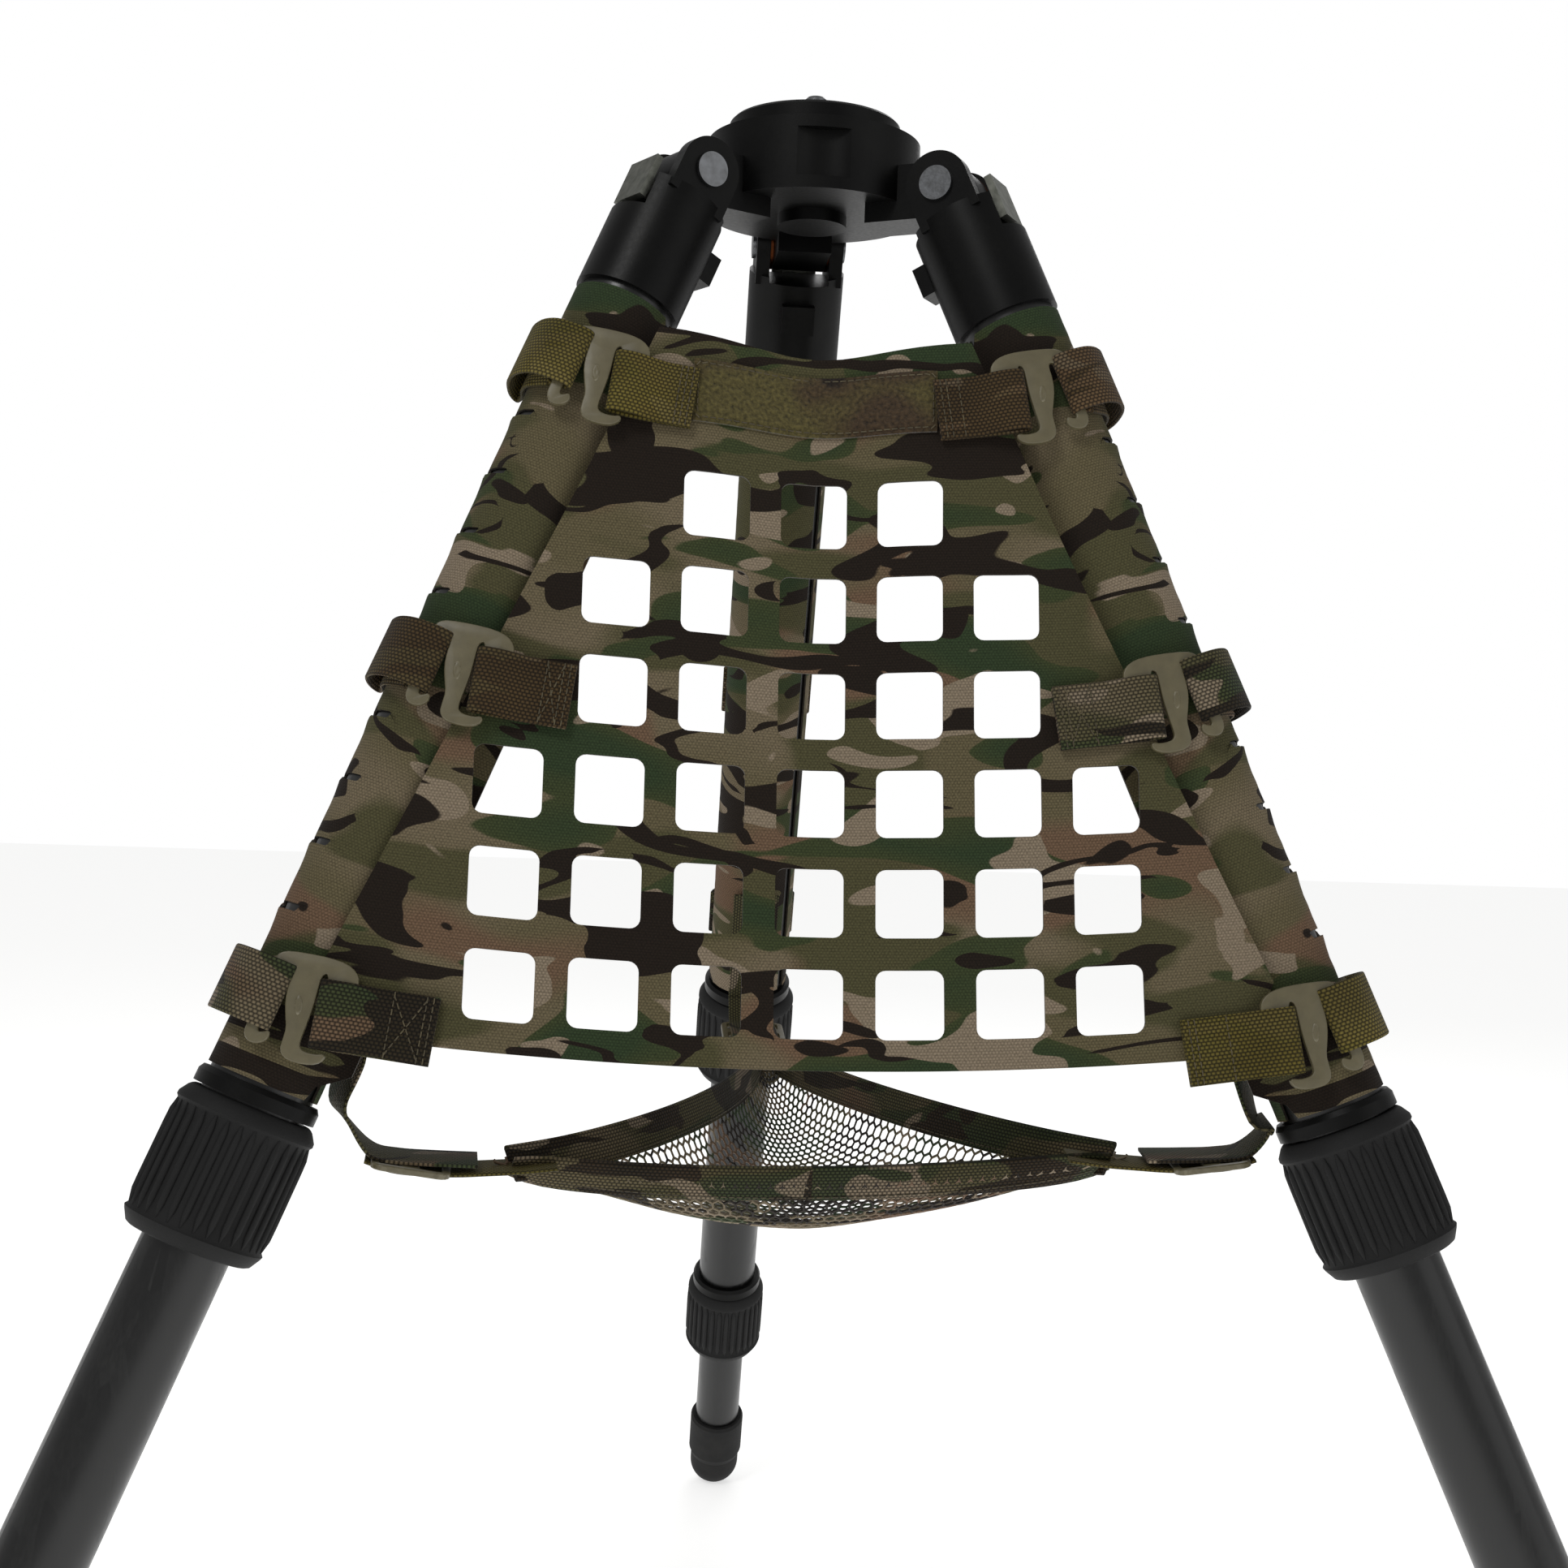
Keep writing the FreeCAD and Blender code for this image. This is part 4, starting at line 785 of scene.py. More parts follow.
def rib_tree():
    """Stands tapered ribs in a ring round Z and keeps the mesh they stand on."""
    sizes = [
        ("Ribs", "NodeSocketInt"),
        ("Ring Radius", "NodeSocketFloat"),
        ("Rib Length", "NodeSocketFloat"),
        ("Rib Radius", "NodeSocketFloat"),
        ("Rubber", "NodeSocketMaterial"),
    ]
    tree, way_in = new_tree("grip_ribs", sizes)
    half = maths(tree, "MULTIPLY", way_in.outputs[3], 0.5)
    end = add(tree, "ShaderNodeCombineXYZ", {2: half})
    start = add(tree, "ShaderNodeCombineXYZ", {2: maths(tree, "MULTIPLY", half, -1.0)})
    line = add(tree, "GeometryNodeCurvePrimitiveLine", {"Start": start.outputs[0], "End": end.outputs[0]})
    fine = add(tree, "GeometryNodeResampleCurve", {"Curve": line.outputs[0], "Count": 9})
    along = add(tree, "GeometryNodeSplineParameter").outputs["Factor"]
    away = maths(tree, "ABSOLUTE", maths(tree, "MULTIPLY_ADD", along, 2.0, -1.0))
    taper = maths(tree, "SUBTRACT", 1.0, maths(tree, "POWER", away, 7.0))
    taper = maths(tree, "MAXIMUM", maths(tree, "POWER", taper, 0.5), 0.15)
    shaped = add(tree, "GeometryNodeSetCurveRadius", {"Curve": fine.outputs[0], "Radius": taper})
    ring = add(tree, "GeometryNodeCurvePrimitiveCircle", {"Resolution": 8, "Radius": way_in.outputs[4]})
    rib = add(
        tree,
        "GeometryNodeCurveToMesh",
        {
            "Curve": shaped.outputs[0],
            "Profile Curve": ring.outputs[0],
            "Fill Caps": True,
            "Scale": taper,
        },
    )
    stand = add(
        tree, "GeometryNodeMeshCircle", {"Vertices": way_in.outputs[1], "Radius": way_in.outputs[2]}
    )
    ribs = add(
        tree, "GeometryNodeInstanceOnPoints", {"Points": stand.outputs[0], "Instance": rib.outputs[0]}
    )
    smooth = add(tree, "GeometryNodeSetShadeSmooth", {0: ribs.outputs[0]})
    both = add(tree, "GeometryNodeJoinGeometry")
    tree.links.new(smooth.outputs[0], both.inputs[0])
    tree.links.new(way_in.outputs[0], both.inputs[0])
    close_tree(tree, both.outputs[0], way_in.outputs[5])
    return tree


def grown(piece, tree, values):
    """Runs a geometry tree on the piece with these named inputs, then applies it."""
    modifier = piece.modifiers.new(tree.name, "NODES")
    modifier.node_group = tree
    ids = {
        item.name: item.identifier
        for item in tree.interface.items_tree
        if item.item_type == "SOCKET" and item.in_out == "INPUT"
    }
    for label, value in values.items():
        modifier[ids[label]] = value
    return applied(piece)


def edge_chain(name, chains):
    """A mesh of loose edge chains, in metres, for a geometry tree to follow."""
    points, edges = [], []
    for chain in chains:
        first = len(points)
        points += [tuple(p) for p in chain]
        edges += [(first + k, first + k + 1) for k in range(len(chain) - 1)]
    mesh = bpy.data.meshes.new(name)
    mesh.from_pydata(points, edges, [])
    return link(name, mesh)


def stitched(name, chains, tree, finish, length=2.2, gap=0.9, radius=0.3):
    values = {
        "Stitch Length": length * MM,
        "Gap": gap * MM,
        "Thread Radius": radius * MM,
        "Thread": finish,
    }
    return grown(edge_chain(name, chains), tree, values)


# ------------------------------------------------------------ sizes a user may change


def number(label, about, default, unit="LENGTH"):
    return FloatProperty(name=label, description=about, default=default, unit=unit)


def colour(label, about, code):
    return FloatVectorProperty(
        name=label, description=about, default=linear(code)[:3], subtype="COLOR", min=0.0, max=1.0
    )


class TripodCloth(bpy.types.PropertyGroup):
    """Sizes and printed colours of the cloth pieces."""

    hole: number("Hole", "Side of each square hole in the panel", 0.026)
    hole_corner: number("Hole Corner", "Corner radius of the holes", 0.004)
    hole_pitch: number("Hole Pitch", "Distance between hole centres", 0.0381)
    sheet: number("Sheet", "Thickness of the laminate", 0.0010)
    web_width: number("Webbing Width", "Width of the webbing", 0.025)
    web: number("Webbing", "Thickness of the webbing", 0.0014)
    net_cell: number("Net Cell", "Distance between the net's holes", 0.0046)
    net_cord: number("Net Cord", "Thickness of the net's cord", 0.0011)
    stitch: number("Stitch", "Length of a stitch", 0.0022)
    sand: colour("Sand", "Ground of the print", "#6b604c")
    khaki: colour("Khaki", "Second ground of the print", "#5c543d")
    rosy_brown: colour("Rosy Brown", "Soft brown zones", "#66513f")
    olive: colour("Olive", "Soft olive zones", "#4a472f")
    moss: colour("Moss", "Rim of the green patches", "#3a4026")
    leaf: colour("Leaf", "Middle of the green patches", "#2d3a24")
    pale: colour("Pale", "Small pale spots", "#7f7260")
    bark: colour("Bark", "Dark branches", "#1f1812")


class TripodMetal(bpy.types.PropertyGroup):
    """Sizes and colours of the hooks, buckles and twist grips."""

    hook: number("Hook", "Thickness of the stamped hooks", 0.0024)
    hook_edge: number("Hook Edge", "Softening of the hooks' edges", 0.0005)
    hook_paint: colour("Hook Paint", "Powder coat on hooks and buckles", "#5e573f")
    ribs: IntProperty(name="Ribs", description="Ribs round a twist grip", default=32, min=8)


# ------------------------------------------------------------ the load panel

SEAM_X = -3.0
HALF_TOP, HALF_LOW, HALF_END = 62.5, 177.5, 164.0
TOP_Y, LOW_Y, END_Y = 68.5, -188.0, -215.0
TOP_DIP = 3.6
ROWS = (3, 5, 5, 7, 7, 7)
PANEL_OFF = 22.6  # leg plane to the middle of the panel's thickness


def panel_point(x, y, lift=0.0):
    """A flat point of the panel where it hangs: x from its own middle."""
    sag = 4.2 * (1.0 - (x / 115.0) ** 2) - 2.4
    low = (TOP_Y - y) / (TOP_Y - END_Y)
    belly = 2.6 * math.cos(min(1.0, abs(x) / 150.0) * math.pi / 2) * math.sin(math.pi * min(1, low))
    ripple = 0.7 * noise.noise(Vector((x / 55.0, y / 40.0, 1.7)))
    # each pair of hooks pulls a faint crease across the cloth
    for hook_y in (50.0, -72.5, -199.0):
        ripple += 0.45 * math.exp(-(((y - hook_y) / 11.0) ** 2)) * abs(x) / 180.0
    # the hooks pull the upper rows into a shallow smile
    fade = 1.0 + 0.6 * y / 45.0 if y > 0 else math.exp(-((y / 95.0) ** 2))
    sag -= 3.2 * (1.0 - math.exp(-((x / 30.0) ** 2))) * fade
    out = PANEL_OFF - belly + ripple + lift
    return PANEL @ Vector((x + SEAM_X, y - sag, out))


def panel_outline(side):
    """Half of the panel, from its middle seam to the leg on this side."""
    top = []
    for k in range(7):
        t = k / 6
        top.append((side * HALF_TOP * t, TOP_Y - TOP_DIP * math.cos(t * math.pi / 2) ** 1.5))
    rest = [(side * HALF_LOW, LOW_Y), (side * (HALF_END + 4), END_Y + 3)]
    rest += [(side * (HALF_END - 2), END_Y), (0.0, END_Y)]
    return top + rest


def panel_holes(side, hole, corner, pitch):
    """The holes whose middle is on this side; a middle column is shared as two halves."""
    whole, halves = [], []
    for row, count in enumerate(ROWS):
        for column in range(count):
            x = pitch * (column - (count - 1) / 2)
            if abs(x) < 1e-6:
                halves.append(rounded_hole(0, -pitch * row, hole, hole, corner))
            elif x * side > 0:
                whole.append(rounded_hole(x, -pitch * row, hole, hole, corner))
    return whole, halves


def notched(outline, halves, side):
    """The outline with each shared hole's own half taken out of its middle edge."""
    made = list(outline)
    for hole in sorted(halves, key=lambda h: h[0][1]):
        half = [(x, y) for x, y in hole if x * side > 1e-6]
        tall = max(y for _, y in hole), min(y for _, y in hole)
        half.sort(key=lambda p: math.atan2(p[1] - sum(tall) / 2, abs(p[0])))
        made.append((0.0, tall[1]))
        made += half
        made.append((0.0, tall[0]))
    return made


def bent_to_leg(piece):
    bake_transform(piece)


class TRIPOD_OT_panel(bpy.types.Operator):
    """Cuts the load panel in two halves that meet at its middle"""

    bl_idname = "tripod.panel"
    bl_label = "Load Panel"

    def execute(self, context):
        look = context.scene.tripod_cloth
        sizes = [v / MM for v in (look.hole, look.hole_corner, look.hole_pitch)]
        finishes = [FINISH["laminate"], FINISH["edge"]]
        for leg in ("left", "right"):
            side = -SIDE[leg]
            whole, halves = panel_holes(side, *sizes)
            outline = notched(panel_outline(side), halves, side)
            piece, area = cut_sheet(
                "panel_" + leg, outline, whole, panel_point, look.sheet / MM, 6.5, finishes
            )
            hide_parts("panel")
            bent_to_leg(piece)
        return {"FINISHED"}


PATCH_W, PATCH_H, PATCH_Y, PATCH_T = 97.0, 24.5, 44.5, 1.5


class TRIPOD_OT_patch(bpy.types.Operator):
    """Sews the loop patch to the panel's upper part"""

    bl_idname = "tripod.patch"
    bl_label = "Loop Patch"

    def execute(self, context):
        low, high = PATCH_Y - PATCH_H / 2, PATCH_Y + PATCH_H / 2
        for leg in ("left", "right"):
            side = -SIDE[leg]
            outline = [(0, low), (side * PATCH_W / 2, low), (side * PATCH_W / 2, high), (0, high)]

            def place(x, y):
                rim = min(PATCH_W / 2 - abs(x), y - low, high - y)
                swell = 0.5 * min(1.0, max(0.0, rim) / 3.0)
                fuzz = 0.25 * noise.noise(Vector((x / 3.0, y / 3.0, 0.0)))
                return panel_point(x, y, 1.15 + swell + fuzz)

            piece, _ = cut_sheet(
                "loop_patch_" + leg, outline, [], place, PATCH_T, 2.2, [FINISH["loop"]] * 2
            )
            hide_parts("loop_patch")
            bent_to_leg(piece)
            rows = []
            for inset in (1.6,):
                row = [(side * 0.5, low + inset), (side * (PATCH_W / 2 - inset), low + inset)]
                row += [(side * (PATCH_W / 2 - inset), high - inset), (side * 0.5, high - inset)]
                chain = []
                for a, b in zip(row, row[1:]):
                    parts = max(1, round(math.dist(a, b) / 4.0))
                    for k in range(parts):
                        t = k / parts
                        x, y = a[0] + (b[0] - a[0]) * t, a[1] + (b[1] - a[1]) * t
                        chain.append(panel_point(x, y, 2.35))
                rows.append(chain)
            seam = stitched("patch_stitches_" + leg, rows, TREES["stitch"], FINISH["thread"])
            bent_to_leg(seam)
        return {"FINISHED"}


# ------------------------------------------------------------ hooks and tabs

# middle of each hook: across from the axis and up from the first row of holes
HOOK_SPOTS = {
    "left": ((-88.8, 49.8), (-136.5, -72.0), (-186.8, -198.2)),
    "right": ((85.8, 50.3), (137.0, -73.0), (187.0, -200.0)),
}
HOOK_TILT = 8.0
HOOK_OFF = 26.8
# one closed outline seen from the front, with the leg to the left
HOOK_OUTLINE = (
    (-12.6, 16.6), (-11.4, 18.4), (-8.0, 19.6), (2.0, 19.6), (10.0, 18.9), (15.0, 17.2), (17.8, 14.4),
    (18.4, 11.0), (18.2, 9.0), (16.6, 8.0), (12.4, 7.4), (11.6, -9.5), (10.8, -11.6), (8.6, -11.8),
    (7.6, -10.0), (7.4, 10.6), (7.0, 12.6), (6.4, 13.4), (4.9, 12.2),
    (4.5, 7.0), (4.1, 1.0), (3.0, -6.0), (1.9, -11.8),
    (2.2, -14.0), (4.0, -15.2), (8.0, -15.6), (10.8, -14.9), (11.8, -16.0), (10.6, -18.2), (7.0, -19.7),
    (1.0, -19.6), (-2.8, -18.4), (-4.6, -15.8), (-4.3, -12.0), (-3.9, -8.0), (-5.2, -3.2), (-6.3, 2.0),
    (-6.3, 7.0), (-5.6, 11.4), (-5.9, 13.2), (-7.2, 13.6), (-8.2, 12.4), (-11.0, 0.4), (-13.6, -9.0),
    (-13.2, -10.6), (-11.8, -10.4), (-10.2, -9.6), (-9.2, -10.6), (-9.4, -12.6), (-11.2, -14.4),
    (-14.4, -15.2), (-17.2, -14.0), (-18.4, -11.2), (-17.6, -7.0), (-15.2, 3.0), (-13.2, 12.0),
)


def hook_frame(leg, index):
    """X towards the panel's middle, Y up the blade, Z out of the front."""
    x, y = HOOK_SPOTS[leg][index]
    inward = SIDE[leg]
    tilt = Matrix.Rotation(math.radians(-HOOK_TILT * inward), 4, "Z")
    mirror = Matrix.Diagonal((inward, 1.0, 1.0, 1.0))
    return PANEL @ Matrix.Translation((x, y, HOOK_OFF)) @ tilt @ mirror


def rounded_corners(outline, rounds=1):
    """Cuts each corner into two, which rounds the outline."""
    for _ in range(rounds):
        made = []
        for a, b in zip(outline, outline[1:] + outline[:1]):
            made.append((a[0] * 0.75 + b[0] * 0.25, a[1] * 0.75 + b[1] * 0.25))
            made.append((a[0] * 0.25 + b[0] * 0.75, a[1] * 0.25 + b[1] * 0.75))
        outline = made
    return outline


def dimple(name, where, finish):
    """The small pressed oval that stiffens a hook's blade."""
    points, faces = [], []
    rings = ((1.0, 2.35), (0.86, 2.62), (0.62, 2.78), (0.30, 2.70))
    count = 20
    for share, z in rings:
        for k in range(count):
            a = 2 * math.pi * k / count
            x = -1.2 + 1.45 * share * math.cos(a) - 0.10 * 3.6 * share * math.sin(a)
            points.append(where @ Vector((x, 0.8 + 3.6 * share * math.sin(a), z)))
    points.append(where @ Vector((-1.2, 0.8, 2.62)))
    for ring in range(len(rings) - 1):
        for k in range(count):
            a, b = ring * count + k, ring * count + (k + 1) % count
            faces.append((a, b, b + count, a + count))
    last = (len(rings) - 1) * count
    for k in range(count):
        faces.append((last + k, last + (k + 1) % count, len(points) - 1))
    faces.append(tuple(range(count - 1, -1, -1)))
    if where.determinant() < 0:
        faces = [tuple(reversed(face)) for face in faces]
    return mesh_piece(name, points, faces, [finish], sharp=60)


class TRIPOD_OT_hooks(bpy.types.Operator):
    """Stamps the six flat hooks that join the panel's tabs to the legs"""

    bl_idname = "tripod.hooks"
    bl_label = "Hooks"

    def execute(self, context):
        metal = context.scene.tripod_metal
        outline = rounded_corners(list(HOOK_OUTLINE), 1)
        for leg in ("left", "right"):
            made = []
            for index in range(3):
                where = hook_frame(leg, index)
                made.append(
                    flat_plate(
                        "hook_blank", outline, where, metal.hook / MM, metal.hook_edge / MM,
                        FINISH["hook"],
                    )
                )
                made.append(dimple("hook_dimple", where, FINISH["hook"]))
            piece = joined(leg + "_hooks_shown", made)
            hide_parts(leg + "_hooks")
            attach(piece, leg + "_leg")
        return {"FINISHED"}


TAB_LENGTHS = {"left": (38.4, 42.5, 48.0), "right": (41.0, 46.0, 48.5)}
TAB_BEND = (
    (26.0, -2.4), (14.0, -1.9), (9.5, -1.1), (6.6, -0.6), (5.5, 1.2), (6.6, 3.2), (9.0, 3.8),
    (13.0, 3.5), (17.0, 2.4), (22.0, 0.4), (27.0, -0.8),
)


def tab_chains(leg, index, reach):
    """Lines of sewing on a tab: a bar by the fold, and a boxed end."""
    where = hook_frame(leg, index)
    top = -0.05

    def line(ax, ay, bx, by):
        return [where @ Vector((ax + (bx - ax) * k / 5, ay + (by - ay) * k / 5, top)) for k in range(6)]

    low, high = -12.0, 10.0
    chains = [line(31.5, low, 31.5, high), line(reach - 2.2, low, reach - 2.2, high)]
    chains.append(line(reach - 4.6, low, reach - 4.6, high))
    if (leg, index) in (("right", 1), ("left", 1), ("left", 2)):
        chains.append(line(32.0, high - 1, reach - 5.0, low + 1))
        chains.append(line(32.0, low + 1, reach - 5.0, high - 1))
    return chains


class TRIPOD_OT_tabs(bpy.types.Operator):
    """Folds a webbing tab round each hook and sews it to the panel"""

    bl_idname = "tripod.tabs"
    bl_label = "Panel Tabs"

    def execute(self, context):
        look = context.scene.tripod_cloth
        for leg in ("left", "right"):
            made, chains = [], []
            for index, reach in enumerate(TAB_LENGTHS[leg]):
                where = hook_frame(leg, index)
                bend = [(reach, -2.4)] + list(TAB_BEND) + [(reach, -0.8)]
                path = []
                for spot in smooth_path([(x, z, 0.0) for x, z in bend], 4):
                    path.append(where @ Vector((spot.x, -1.0, spot.y)))
                across = (where.to_3x3() @ Vector((0, 1, 0))).normalized()
                finish = FINISH[("web_olive", "web_brown", "web_print")[(index + (leg == "right")) % 3]]
                made.append(
                    strap(
                        "tab", path, across, look.web_width / MM, look.web / MM,
                        finish, 70 * index, 55 * index,
                    )
                )
                chains += tab_chains(leg, index, reach)
            piece = joined("panel_tabs_shown_" + leg, made)
            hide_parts("panel_tabs_" + leg)
            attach(piece, leg + "_leg")
            seam = stitched("tab_stitches_" + leg, chains, TREES["stitch"], FINISH["thread"])
            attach(seam, leg + "_leg")
        return {"FINISHED"}


# ------------------------------------------------------------ leg wraps and loops

WRAP_R, WRAP_TOP, WRAP_END = 21.0, 65.0, 402.0
FLAP_FREE, FLAP_N = -30.5, 7.5
SLOT_PITCH, SLOT_FIRST, SLOT_W, SLOT_H = 26.65, 99.5, 20.0, 3.0
LOOP_PATH = (
    (10.5, 24.6), (5.6, 25.0), (2.0, 27.4), (3.4, 30.6), (9.5, 30.9), (17.2, 28.5), (24.0, 20.9),
    (28.4, 9.0), (28.6, -3.5), (25.8, -9.3), (23.3, -4.0), (22.9, 4.0), (20.2, 11.8), (15.2, 18.0),
    (11.0, 22.4),
)
LOOPS_AT = (102.8, 235.7, 371.7)


def wrap_path(flapped):
    """Cross-section of the wrap, from the flap's free edge round the tube to its seam."""
    meet = math.pi - math.asin(FLAP_N / WRAP_R)
    points = []
    if flapped:
        points = [Vector((FLAP_FREE, FLAP_N)), Vector((FLAP_FREE + 4, FLAP_N - 0.3))]
        points += [Vector((-24.0, FLAP_N + 1.0))]
    steps = 64
    for k in range(steps + 1):
        a = meet - 0.10 - (2 * math.pi - 0.22) * k / steps
        points.append(Vector((WRAP_R * math.cos(a), WRAP_R * math.sin(a))))
    runs = [0.0]
    for a, b in zip(points, points[1:]):
        runs.append(runs[-1] + (b - a).length)
    return points, runs


def along(points, runs, run):
    """The point of a path at this run along it, straight past its ends."""
    last = len(runs) - 2
    low, high = 0, last
    while low < high:
        middle = (low + high + 1) // 2
        if runs[middle] <= run:
            low = middle
        else:
            high = middle - 1
    t = (run - runs[low]) / (runs[low + 1] - runs[low])
    return points[low].lerp(points[low + 1], t)


class TRIPOD_OT_wraps(bpy.types.Operator):
    """Wraps each upper leg in slotted laminate; the front two have a flap behind the panel"""

    bl_idname = "tripod.wraps"
    bl_label = "Leg Wraps"

    def execute(self, context):
        look = context.scene.tripod_cloth
        facing = math.pi / 2 - FRONT
        for leg in LEGS:
            points, runs = wrap_path(leg != "rear")
            middle = None
            for spot, run in zip(points, runs):
                if math.atan2(spot.y, spot.x) <= facing and spot.length < WRAP_R + 0.5 and middle is None:
                    middle = run

            def place(run, t, leg=leg, points=points, runs=runs, middle=middle):
                spot = along(points, runs, run)
                if spot.length < WRAP_R + 1.0:
                    window = max(0.0, math.cos(min(1.0, abs(run - middle) / 26.0) * math.pi / 2)) ** 0.7
                    phase = (t - SLOT_FIRST) / SLOT_PITCH
                    share = phase - math.floor(phase)
                    whole = 0.0 < phase < 10.0
                    lip = math.exp(-((share - 0.06) / 0.16) ** 2) if whole else 0.0
                    swell = 0.9 * window * lip + 0.25 * noise.noise(
                        Vector((run / 30.0, t / 45.0, SIDE[leg] + len(leg)))
                    )
                    spot = spot * (1.0 + max(-0.2, swell) / WRAP_R)
                return on_leg(leg, spot.x, spot.y, t)

            outline = [(0.4, WRAP_TOP + 14), (11, WRAP_TOP + 4), (14, WRAP_TOP), (runs[-1], WRAP_TOP)]
            outline += [(runs[-1], WRAP_END), (14, WRAP_END), (11, WRAP_END - 6), (0.4, WRAP_END - 14)]
            if leg == "rear":
                outline = [(0.4, WRAP_TOP), (runs[-1], WRAP_TOP), (runs[-1], WRAP_END), (0.4, WRAP_END)]
            holes = []
            for k in range(1, 10):
                if k != 5:
                    at = SLOT_FIRST + SLOT_PITCH * k
                    holes.append(rounded_hole(middle, at, SLOT_W, SLOT_H, SLOT_H / 2 - 0.01, 3))
            piece, area = cut_sheet(
                leg + "_wrap_shown", outline, holes, place, look.sheet / MM, 5.0,
                [FINISH["laminate"], FINISH["edge"]],
            )
            if SIDE[leg] > 0:
                _flip(piece)
            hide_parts(leg + "_wrap")
            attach(piece, leg + "_leg")
        return {"FINISHED"}


def _flip(piece):
    """Turns a closed piece's faces outwards when its place function mirrors it."""
    shape = bmesh.new()
    shape.from_mesh(piece.data)
    volume = shape.calc_volume(signed=True)
    if volume < 0:
        bmesh.ops.reverse_faces(shape, faces=shape.faces)
        shape.to_mesh(piece.data)
    shape.free()


class TRIPOD_OT_loops(bpy.types.Operator):
    """Sews three webbing loops to each leg's outer side"""

    bl_idname = "tripod.loops"
    bl_label = "Leg Loops"

    def execute(self, context):
        look = context.scene.tripod_cloth
        for leg in LEGS:
            made = []
            up = (LEG[leg].to_3x3() @ Vector((0, 0, 1))).normalized()
            for index, at in enumerate(LOOPS_AT):
                path = [
                    on_leg(leg, p.x, p.y, at) for p in smooth_path([(u, n, 0.0) for u, n in LOOP_PATH], 4)
                ]
                finish = FINISH[("web_print", "web_olive", "web_brown")[(index + len(leg)) % 3]]
                made.append(
                    strap(
                        "loop", path, up, look.web_width / MM, look.web / MM, finish,
                        31 * index + 17 * len(leg), 40 * index,
                    )
                )
            piece = joined(leg + "_loops_shown", made)
            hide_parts(leg + "_loops")
            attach(piece, leg + "_leg")
        return {"FINISHED"}


# ------------------------------------------------------------ the mesh tray

TRAY = {
    "left": stand_point(-121, -100, -439),
    "right": stand_point(131, -100, -433),
    "rear": stand_point(0, 152, -431),
}
CENTRE = sum(TRAY.values(), Vector()) / 3.0
# how far each edge's middle is pulled in and down, in millimetres, by the leg it faces
EDGE_PULL = {"rear": (6.0, 6.0), "right": (33.0, -3.0), "left": (20.0, -2.0)}
TRAY_SAG = 40.0


def tray_point(shares):
    """A point of the hanging net from its shares of the left, right and rear corners."""
    spot = sum((TRAY[leg] * s for leg, s in zip(LEGS, shares)), Vector())
    for k, leg in enumerate(LEGS):
        p, q, r = shares[(k + 1) % 3], shares[(k + 2) % 3], shares[k]
        edge = (TRAY[LEGS[(k + 1) % 3]] + TRAY[LEGS[(k + 2) % 3]]) / 2
        pull = CENTRE - edge
        pull.z = 0
        inward, down = EDGE_PULL[leg]
        weight = 4.0 * p * q * (1.0 - r)
        spot = spot + pull.normalized() * inward * MM * weight - Vector((0, 0, down * MM * weight))
    depth = max(0.0, 27.0 * shares[0] * shares[1] * shares[2])
    fold = 1.6 * noise.noise(spot * 22.0) * min(1.0, depth * 3)
    spot.z += (fold - TRAY_SAG * depth**0.55) * MM
    return spot


def hung_from(piece):
    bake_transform(piece)


def net_edges(cell):
    """Edges of a honeycomb net over the tray, as pairs of shares of its corners."""
    span = (TRAY["right"] - TRAY["left"]).length
    n = int(span / cell)
    step = 1.0 / n

    def middle(i, j, kind):
        if kind:
            a, b = (i + 2 / 3) * step, (j + 2 / 3) * step
        else:
            a, b = (i + 1 / 3) * step, (j + 1 / 3) * step
        return (a, b, 1.0 - a - b)

    pairs = []
    for i in range(n):
        for j in range(n - i):
            here = middle(i, j, 0)
            for di, dj in ((-1, 0), (0, -1), (0, 0)):
                a, b = i + di, j + dj
                if a >= 0 and b >= 0 and a + b <= n - 2:
                    pairs.append((here, middle(a, b, 1)))
            if i == 0:
                pairs.append((here, (0.0, here[1] + step / 6, 1 - here[1] - step / 6)))
            if j == 0:
                pairs.append((here, (here[0] + step / 6, 0.0, 1 - here[0] - step / 6)))
            if i + j == n - 1:
                pairs.append((here, (here[0] + step / 6, here[1] + step / 6, 0.0)))
    return pairs


class TRIPOD_OT_tray(bpy.types.Operator):
    """Hangs the net tray in three parts, one for each leg"""

    bl_idname = "tripod.tray"
    bl_label = "Mesh Tray"

    def execute(self, context):
        look = context.scene.tripod_cloth
        parts = {leg: ([], []) for leg in LEGS}
        found = {leg: {} for leg in LEGS}
        for pair in net_edges(look.net_cell):
            sums = [pair[0][k] + pair[1][k] for k in range(3)]
            leg = LEGS[sums.index(max(sums))]
            points, edges = parts[leg]
            ends = []
            for shares in pair:
                key = tuple(round(s, 5) for s in shares)
                if key not in found[leg]:
                    found[leg][key] = len(points)
                    points.append(tuple(tray_point(shares)))
                ends.append(found[leg][key])
            edges.append(ends)
        for leg in LEGS:
            mesh = bpy.data.meshes.new("tray_net_" + leg)
            mesh.from_pydata(parts[leg][0], parts[leg][1], [])
            piece = grown(
                link("tray_net_" + leg, mesh),
                TREES["net"],
                {"Cord Radius": look.net_cord / 2, "Cord Sides": 4, "Cord": FINISH["net"]},
            )
            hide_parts("tray_mesh")
            hung_from(piece)
        return {"FINISHED"}


BIND_W, BIND_T = 15.0, 2.2


